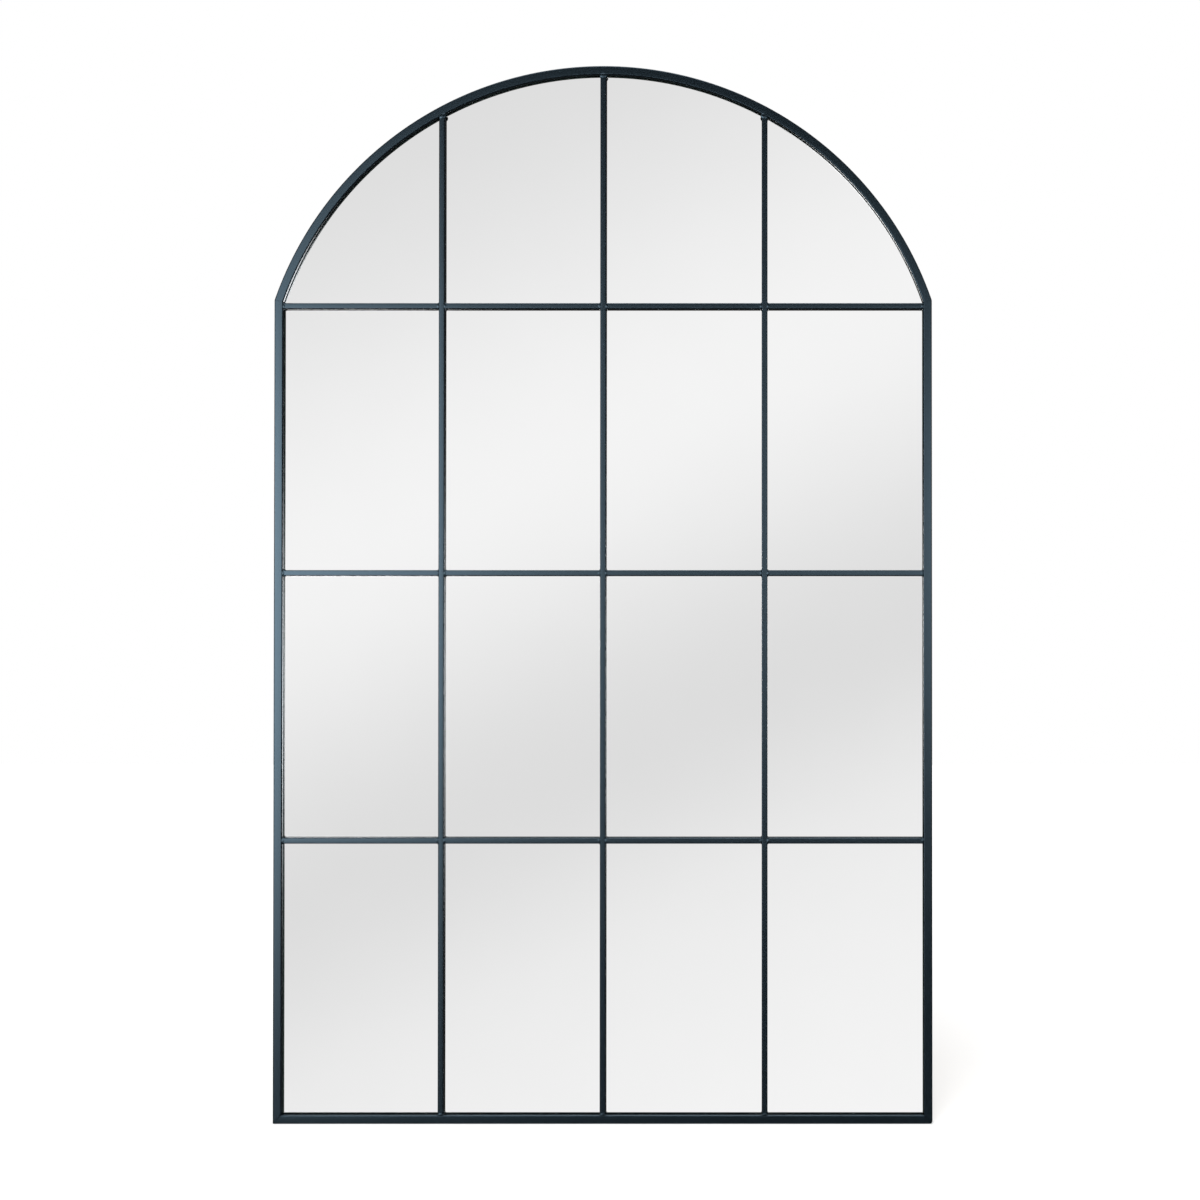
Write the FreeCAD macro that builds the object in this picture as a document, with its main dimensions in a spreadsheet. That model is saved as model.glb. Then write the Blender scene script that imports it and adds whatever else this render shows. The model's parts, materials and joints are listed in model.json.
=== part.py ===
import FreeCAD, Part
import Sketcher
import math
import os

# Arched floor mirror: a welded frame of square steel tube with an arched head, a grid of thinner
# tube bars, one mirror sheet behind the bars and a screwed back board with two hanger rings.
# X runs to the right as seen from the front, Y to the back and Z up, in millimetres.
# The origin is the middle of the bottom rail's underside, where the mirror stands on the floor.

# Driving dimensions in millimetres, and counts where the name says so
SIZES = {
    # Frame outline, and the rise of the arch above the top of the stiles
    "frame_width": 1120,
    "frame_height": 1800,
    "arch_rise": 400,
    # Frame tube as seen from the front, and its corner rounding
    "tube_face": 15,
    "tube_wall": 1.2,
    "tube_corner": 2,
    # Glazing bars, flush with the front of the frame: the high row lies just under the spring
    # corners, and the bottom panes are a little taller than the rest
    "bar_face": 10,
    "bar_depth": 10,
    "bar_wall": 1,
    "bar_corner": 1.5,
    "high_row_gap": 2.5,
    "bottom_pane_extra": 15,
    # Mirror sheet, its room inside the frame and the ground edge
    "glass_thick": 4,
    "glass_gap": 0.5,
    "glass_arris": 0.5,
    # Setting blocks under the sheet and foam tape behind it
    "block_height": 1,
    "block_length": 60,
    "tape_thick": 1,
    "tape_width": 12,
    "tape_end_gap": 20,
    # Back board, which stops short of the outline of the frame
    "board_thick": 3,
    "board_inset": 1.5,
    # Pan head screws and their holes
    "screw_diameter": 3.5,
    "screw_length": 9.5,
    "screw_head_diameter": 7,
    "screw_head_height": 2.4,
    "screw_crown_diameter": 4.2,
    "screw_rim_height": 1.4,
    "screw_tip_length": 2.5,
    "tube_hole_clearance": 0.1,
    "board_hole_clearance": 0.5,
    "screw_end_distance": 60,
    "side_screw_count": 7,
    "rail_screw_count": 5,
    "arch_screw_count": 7,
    # Hanger ring of round wire, from its axis down to the bottom of its bow
    "ring_wire": 2.5,
    "ring_inner_width": 9.6,
    "ring_reach": 20,
    "ring_bend": 2,
    # Hanger strap, its room for the ring and its two holes below the ring
    "strap_thick": 1.5,
    "eye_clearance": 0.08,
    "eye_side_clearance": 0.3,
    "ring_lift": 0.25,
    "ring_screw_clearance": 1.5,
    "strap_hole_pitch": 14,
    "strap_end_distance": 6,
    # Rubber bumpers between the back and the wall
    "bumper_diameter": 12,
    "bumper_height": 8,
    "bumper_inset": 27,
    "bumper_spread": 120,
    "bumper_taper": 8,
}
UPRIGHT_NAMES = ["left", "centre", "right"]
COLUMNS = len(UPRIGHT_NAMES) + 1
ROW_NAMES = ["low", "middle", "high"]
SIDES = {"left": -1, "right": 1}
FULL_TURN = 360

# Lengths worked out from the driving dimensions
HALF_WIDTH = "(Sizes.frame_width / 2)"
INNER_HALF = "(Sizes.frame_width / 2 - Sizes.tube_face)"
STILE_CENTRE = "(Sizes.frame_width / 2 - Sizes.tube_face / 2)"
TUBE_DEPTH = "(Sizes.bar_depth + Sizes.glass_thick + Sizes.tape_thick)"
TUBE_FRONT = f"(-{TUBE_DEPTH} / 2)"
TUBE_BACK = f"({TUBE_DEPTH} / 2)"
GLASS_FRONT = f"({TUBE_FRONT} + Sizes.bar_depth)"
GLASS_BACK = f"({GLASS_FRONT} + Sizes.glass_thick)"
BOARD_BACK = f"({TUBE_BACK} + Sizes.board_thick)"

# The arch is part of a circle through both spring corners and the crown
SPRING = "(Sizes.frame_height - Sizes.arch_rise)"
ARCH_RADIUS = "((Sizes.frame_width ^ 2 / 4 + Sizes.arch_rise ^ 2) / (2 * Sizes.arch_rise))"
ARCH_CENTRE = f"(Sizes.frame_height - {ARCH_RADIUS})"
ARCH_INNER_RADIUS = f"({ARCH_RADIUS} - Sizes.tube_face)"
ARCH_MIDDLE_RADIUS = f"({ARCH_RADIUS} - Sizes.tube_face / 2)"
ARCH_HALF_ANGLE = f"asin({HALF_WIDTH} / {ARCH_RADIUS})"
INNER_SPRING = f"({ARCH_CENTRE} + sqrt({ARCH_INNER_RADIUS} ^ 2 - {INNER_HALF} ^ 2))"

# A mitre at a spring falls by its drop across the tube. Every mitre cut runs one more tube face
# past the tube on both sides, and so falls by one more drop there.
MITRE_DROP = f"({SPRING} - {INNER_SPRING})"
CUT_HALF_WIDTH = "(Sizes.tube_face / 2 + Sizes.tube_face)"
CUT_OUTSIDE = f"({HALF_WIDTH} + Sizes.tube_face)"
CUT_INSIDE = f"({INNER_HALF} - Sizes.tube_face)"
CUT_ABOVE_RAIL = "(Sizes.tube_face + Sizes.tube_face)"

# Panes between the bars
PANE_WIDTH = f"((2 * {INNER_HALF} - {COLUMNS - 1} * Sizes.bar_face) / {COLUMNS})"
HIGH_ROW = f"({INNER_SPRING} - Sizes.bar_face / 2 - Sizes.high_row_gap)"
PANES_HEIGHT = f"({HIGH_ROW} + Sizes.bar_face / 2 - Sizes.tube_face - Sizes.bottom_pane_extra)"
ROW_PITCH = f"({PANES_HEIGHT} / {len(ROW_NAMES)})"

# Places and holes of the screws
SIDE_SCREW_RUN = f"({SPRING} - 2 * Sizes.screw_end_distance)"
SIDE_SCREW_PITCH = f"({SIDE_SCREW_RUN} / (Sizes.side_screw_count - 1))"
RAIL_SCREW_RUN = "(Sizes.frame_width - 2 * Sizes.screw_end_distance)"
ARCH_SCREW_ANGLE = f"({ARCH_HALF_ANGLE} - asin(Sizes.screw_end_distance / {ARCH_RADIUS}))"
SCREW_RADIUS = "(Sizes.screw_diameter / 2)"
TUBE_HOLE_RADIUS = "((Sizes.screw_diameter + Sizes.tube_hole_clearance) / 2)"
BOARD_HOLE_RADIUS = "((Sizes.screw_diameter + Sizes.board_hole_clearance) / 2)"
TUBE_HOLE_DEPTH = "(2 * Sizes.tube_wall)"

# The hanger strap lies on the back board over a stile, midway between two board screws, and
# the bore of its eye holds the wire of the ring
RING_HALF_WIDTH = "((Sizes.ring_inner_width + Sizes.ring_wire) / 2)"
RING_LEG = f"(Sizes.ring_reach - Sizes.ring_wire / 2 - {RING_HALF_WIDTH})"
EYE_BORE_RADIUS = "(Sizes.ring_wire / 2 + Sizes.eye_clearance)"
EYE_OUTER_RADIUS = f"({EYE_BORE_RADIUS} + Sizes.strap_thick)"
STRAP_HALF_WIDTH = f"({RING_HALF_WIDTH} - Sizes.ring_bend - Sizes.eye_side_clearance)"
HIGH_HOLE_DROP = "(Sizes.ring_reach + Sizes.ring_screw_clearance + Sizes.screw_head_diameter / 2)"
LOW_HOLE_DROP = f"({HIGH_HOLE_DROP} + Sizes.strap_hole_pitch)"
STRAP_LENGTH = f"({LOW_HOLE_DROP} + Sizes.strap_end_distance)"
HANGER_Y = f"({BOARD_BACK} + {EYE_OUTER_RADIUS} + Sizes.ring_lift)"
HANGER_Z = f"({SPRING} - Sizes.screw_end_distance - {SIDE_SCREW_PITCH} / 2 + {STRAP_LENGTH} / 2)"
HANGER_HOLES = [f"({HANGER_Z} - {drop})" for drop in (HIGH_HOLE_DROP, LOW_HOLE_DROP)]

doc = FreeCAD.newDocument("arched_floor_mirror")
sheet = doc.addObject("Spreadsheet::Sheet", "Sizes")
for row, (alias, size) in enumerate(SIZES.items(), start=1):
    sheet.set(f"A{row}", alias)
    sheet.set(f"B{row}", str(size))
    sheet.setAlias(f"B{row}", alias)
doc.recompute()


def value(expression):
    """The number that an expression of the sheet's sizes comes to."""
    result = sheet.evalExpression(expression)
    return float(getattr(result, "Value", result))


def new_body(node, place=None, separate_solids=False):
    """A body for one node, placed at expressions for its x, y or z."""
    body = doc.addObject("PartDesign::Body", node)
    body.Label = node
    body.AllowCompound = separate_solids
    for axis, expression in (place or {}).items():
        body.setExpression(f"Placement.Base.{axis}", expression)
    return body


def origin_of(body, role):
    """A plane or axis of the body's own origin."""
    return next(feature for feature in body.Origin.OriginFeatures if feature.Role == role)


def new_sketch(body, name, plane, offset=None):
    """A sketch on an origin plane, shifted by expressions for x, y or z of that plane."""
    sketch = body.newObject("Sketcher::SketchObject", f"{body.Name}_{name}")
    sketch.AttachmentSupport = [(origin_of(body, plane), "")]
    sketch.MapMode = "FlatFace"
    for axis, expression in (offset or {}).items():
        sketch.setExpression(f"AttachmentOffset.Base.{axis}", expression)
    return sketch


def front_sketch(body, name, depth="0", height="0"):
    """An upright sketch seen from the front, at depth along Y and with its origin at height."""
    return new_sketch(body, name, "XZ_Plane", {"z": f"-({depth})", "y": height})


def dimension(sketch, kind, elements, expression):
    """A dimension of the sketch that follows the sizes."""
    index = sketch.addConstraint(Sketcher.Constraint(kind, *elements, value(expression)))
    sketch.setExpression(f"Constraints[{index}]", expression)


def place_point(sketch, element, point, across, up):
    """Hold a point of a sketch element at its two distances from the sketch's origin."""
    dimension(sketch, "DistanceX", (-1, 1, element, point), across)
    dimension(sketch, "DistanceY", (-1, 1, element, point), up)


def draw_polygon(sketch, corners):
    """A closed outline of straight lines through corners given as pairs of expressions."""
    points = [FreeCAD.Vector(value(across), value(up), 0) for across, up in corners]
    ends = points[1:] + points[:1]
    lines = [sketch.addGeometry(Part.LineSegment(*pair)) for pair in zip(points, ends)]
    for line, following in zip(lines, lines[1:] + lines[:1]):
        sketch.addConstraint(Sketcher.Constraint("Coincident", line, 2, following, 1))
    for line, (across, up) in zip(lines, corners):
        place_point(sketch, line, 1, across, up)


def draw_circle(sketch, across, up, radius):
    """A circle with its centre held from the sketch's origin."""
    centre = FreeCAD.Vector(value(across), value(up), 0)
    circle = sketch.addGeometry(Part.Circle(centre, FreeCAD.Vector(0, 0, 1), value(radius)))
    place_point(sketch, circle, 3, across, up)
    dimension(sketch, "Radius", (circle,), radius)


def new_arc(sketch, centre, radius, start, end):
    """An arc of a circle, from start to end in degrees."""
    circle = Part.Circle(FreeCAD.Vector(*centre, 0), FreeCAD.Vector(0, 0, 1), radius)
    return sketch.addGeometry(Part.ArcOfCircle(circle, math.radians(start), math.radians(end)))


def draw_rounded_rectangle(sketch, left, bottom, width, height, corner):
    """A rectangle whose four corners are equal tangent arcs."""
    x_low = value(left)
    y_low = value(bottom)
    x_high = x_low + value(width)
    y_high = y_low + value(height)
    round_by = value(corner)
    arc_centres = [
        (x_high - round_by, y_low + round_by),
        (x_high - round_by, y_high - round_by),
        (x_low + round_by, y_high - round_by),
        (x_low + round_by, y_low + round_by),
    ]
    sides = [
        ((x_low + round_by, y_low), (x_high - round_by, y_low)),
        ((x_high, y_low + round_by), (x_high, y_high - round_by)),
        ((x_high - round_by, y_high), (x_low + round_by, y_high)),
        ((x_low, y_high - round_by), (x_low, y_low + round_by)),
    ]
    lines = []
    arcs = []
    for quarter, (start, end) in enumerate(sides):
        line = Part.LineSegment(FreeCAD.Vector(*start, 0), FreeCAD.Vector(*end, 0))
        lines.append(sketch.addGeometry(line))
        arcs.append(new_arc(sketch, arc_centres[quarter], round_by, quarter * 90 - 90, quarter * 90))
    for quarter, arc in enumerate(arcs):
        following = lines[(quarter + 1) % len(lines)]
        sketch.addConstraint(Sketcher.Constraint("Tangent", lines[quarter], 2, arc, 1))
        sketch.addConstraint(Sketcher.Constraint("Tangent", arc, 2, following, 1))
    for arc in arcs[1:]:
        sketch.addConstraint(Sketcher.Constraint("Equal", arcs[0], arc))
    bottom_line, right_line, top_line, left_line = lines
    for line in (bottom_line, top_line):
        sketch.addConstraint(Sketcher.Constraint("Horizontal", line))
    for line in (right_line, left_line):
        sketch.addConstraint(Sketcher.Constraint("Vertical", line))
    dimension(sketch, "Radius", (arcs[0],), corner)
    dimension(sketch, "DistanceX", (-1, 1, left_line, 1), left)
    dimension(sketch, "DistanceY", (-1, 1, bottom_line, 1), bottom)
    dimension(sketch, "DistanceX", (left_line, 1, right_line, 1), width)
    dimension(sketch, "DistanceY", (bottom_line, 1, top_line, 1), height)


def draw_tube_section(sketch, stock, left, bottom, width, height):
    """Section of the frame tube or of a bar: rounded outside, square inside."""
    wall = f"Sizes.{stock}_wall"
    draw_rounded_rectangle(sketch, left, bottom, width, height, f"Sizes.{stock}_corner")
    inside_left = f"{left} + {wall}"
    inside_bottom = f"{bottom} + {wall}"
    inside_right = f"{left} + {width} - {wall}"
    inside_top = f"{bottom} + {height} - {wall}"
    draw_polygon(sketch, [
        (inside_left, inside_bottom),
        (inside_right, inside_bottom),
        (inside_right, inside_top),
        (inside_left, inside_top),
    ])


def draw_arched_outline(sketch, half_width, bottom, radius):
    """The outline of a sheet with upright sides under the arch's circle."""
    across = value(half_width)
    low = value(bottom)
    centre = value(ARCH_CENTRE)
    sweep = value(radius)
    shoulder = math.degrees(math.acos(across / sweep))
    high = centre + math.sqrt(sweep ** 2 - across ** 2)
    corners = [(across, high), (-across, high), (-across, low), (across, low)]
    points = [FreeCAD.Vector(*corner, 0) for corner in corners]
    left = sketch.addGeometry(Part.LineSegment(points[1], points[2]))
    base = sketch.addGeometry(Part.LineSegment(points[2], points[3]))
    right = sketch.addGeometry(Part.LineSegment(points[3], points[0]))
    arc = new_arc(sketch, (0, centre), sweep, shoulder, 180 - shoulder)
    order = [left, base, right, arc]
    for element, following in zip(order, order[1:] + order[:1]):
        sketch.addConstraint(Sketcher.Constraint("Coincident", element, 2, following, 1))
    sketch.addConstraint(Sketcher.Constraint("Vertical", left))
    sketch.addConstraint(Sketcher.Constraint("Vertical", right))
    sketch.addConstraint(Sketcher.Constraint("PointOnObject", arc, 3, -2))
    place_point(sketch, base, 1, f"-{half_width}", bottom)
    place_point(sketch, base, 2, half_width, bottom)
    dimension(sketch, "DistanceY", (-1, 1, arc, 3), ARCH_CENTRE)
    dimension(sketch, "Radius", (arc,), radius)


def pad(body, sketch, length, side="One side", backwards=False):
    """Extrude a sketch into the body."""
    feature = body.newObject("PartDesign::Pad", f"{sketch.Name}_pad")
    feature.Profile = sketch
    feature.setExpression("Length", length)
    feature.SideType = side
    feature.Reversed = backwards
    return feature


def cut_through(body, sketch):
    """Cut a sketch through the whole body, both ways from its plane."""
    feature = body.newObject("PartDesign::Pocket", f"{sketch.Name}_cut")
    feature.Profile = sketch
    feature.Type = "ThroughAll"
    feature.SideType = "Symmetric"
    return feature


def cut_forwards(body, sketch, depth):
    """Cut an upright sketch towards the front by a depth."""
    feature = body.newObject("PartDesign::Pocket", f"{sketch.Name}_cut")
    feature.Profile = sketch
    feature.setExpression("Length", depth)
    feature.Reversed = True
    return feature


def new_pattern(body, kind, feature, whole):
    """A pattern of the whole body as it stands after a feature, or of that feature alone."""
    pattern = body.newObject(f"PartDesign::{kind}", f"{feature.Name}_{kind}")
    if whole:
        pattern.TransformMode = "Whole shape"
        pattern.BaseFeature = feature
    else:
        pattern.Originals = [feature]
    body.Tip = pattern
    return pattern


def repeat_along(body, feature, axis, run, count, whole=False):
    """Repeat a feature, or the whole body, evenly along an axis over a run."""
    row = new_pattern(body, "LinearPattern", feature, whole)
    row.Direction = (origin_of(body, axis), [""])
    row.setExpression("Length", run)
    row.setExpression("Occurrences", count)
    return row


def repeat_round(body, feature, axis, angle, count, whole=False):
    """Repeat a feature, or the whole body, evenly round an axis over an angle."""
    ring = new_pattern(body, "PolarPattern", feature, whole)
    ring.Axis = axis
    ring.setExpression("Angle", angle)
    ring.setExpression("Occurrences", count)


def mirror_across(body, feature):
    """Add the other side of a body that is made for one side of the centre plane."""
    pair = new_pattern(body, "Mirrored", feature, whole=True)
    pair.MirrorPlane = (origin_of(body, "YZ_Plane"), [""])


def make_bottom_rail():
    """The rail on the floor, mitred at 45 degrees at both ends."""
    body = new_body("bottom_rail")
    section = new_sketch(body, "section", "YZ_Plane")
    draw_tube_section(section, "tube", TUBE_FRONT, "0", TUBE_DEPTH, "Sizes.tube_face")
    pad(body, section, "Sizes.frame_width", side="Symmetric")
    mitres = front_sketch(body, "mitres")
    for side in SIDES.values():
        draw_polygon(mitres, [
            (f"{side} * {CUT_OUTSIDE}", "-Sizes.tube_face"),
            (f"{side} * {CUT_OUTSIDE}", CUT_ABOVE_RAIL),
            (f"{side} * {CUT_INSIDE}", CUT_ABOVE_RAIL),
        ])
    cut_through(body, mitres)
    hole = front_sketch(body, "hole", TUBE_BACK)
    draw_circle(hole, f"-{RAIL_SCREW_RUN} / 2", "Sizes.tube_face / 2", TUBE_HOLE_RADIUS)
    first = cut_forwards(body, hole, TUBE_HOLE_DEPTH)
    repeat_along(body, first, "X_Axis", RAIL_SCREW_RUN, "Sizes.rail_screw_count")


def make_stile(name, side):
    """An upright of the frame, mitred to the rail at its foot and to the arch at its head."""
    body = new_body(f"{name}_stile", {"x": f"{side} * {STILE_CENTRE}"})
    section = new_sketch(body, "section", "XY_Plane")
    draw_tube_section(section, "tube", "-Sizes.tube_face / 2", TUBE_FRONT, "Sizes.tube_face", TUBE_DEPTH)
    pad(body, section, SPRING)
    outside = f"{side} * {CUT_HALF_WIDTH}"
    inside = f"{-side} * {CUT_HALF_WIDTH}"
    above = f"{SPRING} + {CUT_HALF_WIDTH}"
    mitres = front_sketch(body, "mitres")
    draw_polygon(mitres, [
        (outside, "-Sizes.tube_face"),
        (inside, CUT_ABOVE_RAIL),
        (inside, "-Sizes.tube_face"),
    ])
    draw_polygon(mitres, [
        (outside, f"{SPRING} + {MITRE_DROP}"),
        (inside, f"{INNER_SPRING} - {MITRE_DROP}"),
        (inside, above),
        (outside, above),
    ])
    cut_through(body, mitres)
    hole = front_sketch(body, "hole", TUBE_BACK)
    draw_circle(hole, "0", "Sizes.screw_end_distance", TUBE_HOLE_RADIUS)
    first = cut_forwards(body, hole, TUBE_HOLE_DEPTH)
    repeat_along(body, first, "Z_Axis", SIDE_SCREW_RUN, "Sizes.side_screw_count")
    hanger_holes = front_sketch(body, "hanger_holes", TUBE_BACK)
    for height in HANGER_HOLES:
        draw_circle(hanger_holes, "0", height, TUBE_HOLE_RADIUS)
    cut_forwards(body, hanger_holes, TUBE_HOLE_DEPTH)


def make_arch_head():
    """The rolled tube of the arch, built round the arch's centre and mitred to both stiles."""
    body = new_body("arch_head", {"z": ARCH_CENTRE})
    section = new_sketch(body, "section", "YZ_Plane")
    draw_tube_section(section, "tube", TUBE_FRONT, ARCH_INNER_RADIUS, TUBE_DEPTH, "Sizes.tube_face")
    bend = body.newObject("PartDesign::Revolution", "arch_head_bend")
    bend.Profile = section
    bend.ReferenceAxis = (section, ["H_Axis"])
    bend.Midplane = True
    bend.setExpression("Angle", f"2 * ({ARCH_HALF_ANGLE} + asin(Sizes.tube_face / {ARCH_RADIUS}))")
    spring_above_centre = f"({SPRING} - {ARCH_CENTRE})"
    inner_above_centre = f"({INNER_SPRING} - {ARCH_CENTRE})"
    below = f"{inner_above_centre} - {MITRE_DROP} - {CUT_HALF_WIDTH}"
    mitres = front_sketch(body, "mitres")
    for side in SIDES.values():
        outside = f"{side} * {CUT_OUTSIDE}"
        inside = f"{side} * {CUT_INSIDE}"
        draw_polygon(mitres, [
            (outside, f"{spring_above_centre} + {MITRE_DROP}"),
            (inside, f"{inner_above_centre} - {MITRE_DROP}"),
            (inside, below),
            (outside, below),
        ])
    cut_through(body, mitres)
    hole = front_sketch(body, "hole", TUBE_BACK)
    draw_circle(
        hole,
        f"{ARCH_MIDDLE_RADIUS} * sin({ARCH_SCREW_ANGLE})",
        f"{ARCH_MIDDLE_RADIUS} * cos({ARCH_SCREW_ANGLE})",
        TUBE_HOLE_RADIUS,
    )
    first = cut_forwards(body, hole, TUBE_HOLE_DEPTH)
    repeat_round(body, first, (hole, ["N_Axis"]), f"2 * {ARCH_SCREW_ANGLE}", "Sizes.arch_screw_count")


def make_upright_bar(name, index):
    """A glazing bar from the bottom rail to the arch, coped to the arch at its top."""
    centre = f"({index + 1} * ({PANE_WIDTH} + Sizes.bar_face) - Sizes.bar_face / 2 - {INNER_HALF})"
    body = new_body(f"upright_bar_{name}")
    section = new_sketch(body, "section", "XY_Plane", {"z": "Sizes.tube_face"})
    side = f"({centre} - Sizes.bar_face / 2)"
    draw_tube_section(section, "bar", side, TUBE_FRONT, "Sizes.bar_face", "Sizes.bar_depth")
    pad(body, section, "Sizes.frame_height - Sizes.tube_face")
    cope = front_sketch(body, "cope")
    left = f"{centre} - Sizes.bar_face"
    right = f"{centre} + Sizes.bar_face"
    top = "Sizes.frame_height + Sizes.tube_face"
    sweep = value(ARCH_INNER_RADIUS)
    rise = value(ARCH_CENTRE)
    start = math.degrees(math.acos(value(right) / sweep))
    end = math.degrees(math.acos(value(left) / sweep))
    arc = new_arc(cope, (0, rise), sweep, start, end)
    right_low = FreeCAD.Vector(value(right), rise + math.sqrt(sweep ** 2 - value(right) ** 2), 0)
    left_low = FreeCAD.Vector(value(left), rise + math.sqrt(sweep ** 2 - value(left) ** 2), 0)
    left_high = FreeCAD.Vector(value(left), value(top), 0)
    right_high = FreeCAD.Vector(value(right), value(top), 0)
    left_line = cope.addGeometry(Part.LineSegment(left_low, left_high))
    top_line = cope.addGeometry(Part.LineSegment(left_high, right_high))
    right_line = cope.addGeometry(Part.LineSegment(right_high, right_low))
    order = [arc, left_line, top_line, right_line]
    for element, following in zip(order, order[1:] + order[:1]):
        cope.addConstraint(Sketcher.Constraint("Coincident", element, 2, following, 1))
    cope.addConstraint(Sketcher.Constraint("Vertical", left_line))
    cope.addConstraint(Sketcher.Constraint("Vertical", right_line))
    place_point(cope, top_line, 1, left, top)
    place_point(cope, top_line, 2, right, top)
    cope.addConstraint(Sketcher.Constraint("PointOnObject", arc, 3, -2))
    dimension(cope, "DistanceY", (-1, 1, arc, 3), ARCH_CENTRE)
    dimension(cope, "Radius", (arc,), ARCH_INNER_RADIUS)
    cut_through(body, cope)


def row_height(row):
    """Height of the middle of a row of cross bars, counted up from the low row."""
    rows_below_high = len(ROW_NAMES) - 1 - row
    return f"({HIGH_ROW} - {rows_below_high} * {ROW_PITCH})"


def make_cross_bar(row_name, row, column):
    """A short length of bar between two uprights, or between a stile and an upright."""
    body = new_body(f"cross_bar_{row_name}_{column + 1}")
    start = f"{column} * ({PANE_WIDTH} + Sizes.bar_face) - {INNER_HALF}"
    section = new_sketch(body, "section", "YZ_Plane", {"z": start})
    underside = f"({row_height(row)} - Sizes.bar_face / 2)"
    draw_tube_section(section, "bar", TUBE_FRONT, underside, "Sizes.bar_depth", "Sizes.bar_face")
    pad(body, section, PANE_WIDTH)


def make_mirror_glass():
    """One silvered sheet behind all the bars, with its edges ground."""
    body = new_body("mirror_glass")
    outline = front_sketch(body, "outline", GLASS_BACK)
    draw_arched_outline(
        outline,
        f"({INNER_HALF} - Sizes.glass_gap)",
        "(Sizes.tube_face + Sizes.block_height)",
        f"({ARCH_INNER_RADIUS} - Sizes.glass_gap)",
    )
    sheet_pad = pad(body, outline, "Sizes.glass_thick")
    doc.recompute()
    areas = [face.Area for face in sheet_pad.Shape.Faces]
    front_and_back = sorted(areas)[-2:]
    flat_faces = [f"Face{n}" for n, area in enumerate(areas, start=1) if area in front_and_back]
    arris = body.newObject("PartDesign::Chamfer", "mirror_glass_arris")
    arris.Base = (sheet_pad, flat_faces)
    arris.setExpression("Size", "Sizes.glass_arris")


def make_setting_blocks():
    """Two rubber blocks that the sheet stands on, at a quarter of the width from each side."""
    body = new_body("setting_blocks", separate_solids=True)
    outline = front_sketch(body, "outline", GLASS_BACK)
    middle = f"{HALF_WIDTH} / 2"
    left = f"{middle} - Sizes.block_length / 2"
    right = f"{middle} + Sizes.block_length / 2"
    low = "Sizes.tube_face"
    high = "Sizes.tube_face + Sizes.block_height"
    draw_polygon(outline, [(left, low), (right, low), (right, high), (left, high)])
    block = pad(body, outline, "Sizes.glass_thick")
    mirror_across(body, block)


def make_foam_tape():
    """A strip of foam tape behind each row of cross bars, pressed between sheet and board."""
    body = new_body("foam_tape", separate_solids=True)
    outline = front_sketch(body, "outline", TUBE_BACK)
    half = f"({INNER_HALF} - Sizes.glass_gap - Sizes.tape_end_gap)"
    low = f"{row_height(0)} - Sizes.tape_width / 2"
    high = f"{row_height(0)} + Sizes.tape_width / 2"
    draw_polygon(outline, [(f"-{half}", low), (half, low), (half, high), (f"-{half}", high)])
    strip = pad(body, outline, "Sizes.tape_thick")
    run = f"{len(ROW_NAMES) - 1} * {ROW_PITCH}"
    repeat_along(body, strip, "Z_Axis", run, str(len(ROW_NAMES)), whole=True)


def make_back_board():
    """The board that closes the back, with a hole for each screw."""
    body = new_body("back_board")
    outline = front_sketch(body, "outline", BOARD_BACK)
    draw_arched_outline(
        outline,
        f"({HALF_WIDTH} - Sizes.board_inset)",
        "Sizes.board_inset",
        f"({ARCH_RADIUS} - Sizes.board_inset)",
    )
    pad(body, outline, "Sizes.board_thick")
    side_holes = front_sketch(body, "side_holes")
    hanger_holes = front_sketch(body, "hanger_holes")
    for side in SIDES.values():
        draw_circle(side_holes, f"{side} * {STILE_CENTRE}", "Sizes.screw_end_distance", BOARD_HOLE_RADIUS)
        for height in HANGER_HOLES:
            draw_circle(hanger_holes, f"{side} * {STILE_CENTRE}", height, BOARD_HOLE_RADIUS)
    side_cut = cut_through(body, side_holes)
    repeat_along(body, side_cut, "Z_Axis", SIDE_SCREW_RUN, "Sizes.side_screw_count")
    rail_hole = front_sketch(body, "rail_hole")
    draw_circle(rail_hole, f"-{RAIL_SCREW_RUN} / 2", "Sizes.tube_face / 2", BOARD_HOLE_RADIUS)
    rail_cut = cut_through(body, rail_hole)
    repeat_along(body, rail_cut, "X_Axis", RAIL_SCREW_RUN, "Sizes.rail_screw_count")
    arch_hole = front_sketch(body, "arch_hole", height=ARCH_CENTRE)
    draw_circle(
        arch_hole,
        f"{ARCH_MIDDLE_RADIUS} * sin({ARCH_SCREW_ANGLE})",
        f"{ARCH_MIDDLE_RADIUS} * cos({ARCH_SCREW_ANGLE})",
        BOARD_HOLE_RADIUS,
    )
    arch_cut = cut_through(body, arch_hole)
    axis = (arch_hole, ["N_Axis"])
    repeat_round(body, arch_cut, axis, f"2 * {ARCH_SCREW_ANGLE}", "Sizes.arch_screw_count")
    cut_through(body, hanger_holes)


def add_screw(body, across, height, seat):
    """A pan head screw that points to the front, with the underside of its head at seat."""
    profile = new_sketch(body, "profile", "YZ_Plane", {"x": seat, "y": height, "z": across})
    rim = "Sizes.screw_head_diameter / 2"
    draw_polygon(profile, [
        ("-Sizes.screw_length", "0"),
        ("Sizes.screw_head_height", "0"),
        ("Sizes.screw_head_height", "Sizes.screw_crown_diameter / 2"),
        ("Sizes.screw_rim_height", rim),
        ("0", rim),
        ("0", SCREW_RADIUS),
        ("Sizes.screw_tip_length - Sizes.screw_length", SCREW_RADIUS),
    ])
    turn = body.newObject("PartDesign::Revolution", f"{body.Name}_turn")
    turn.Profile = profile
    turn.ReferenceAxis = (profile, ["H_Axis"])
    turn.Angle = FULL_TURN
    return turn


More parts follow.
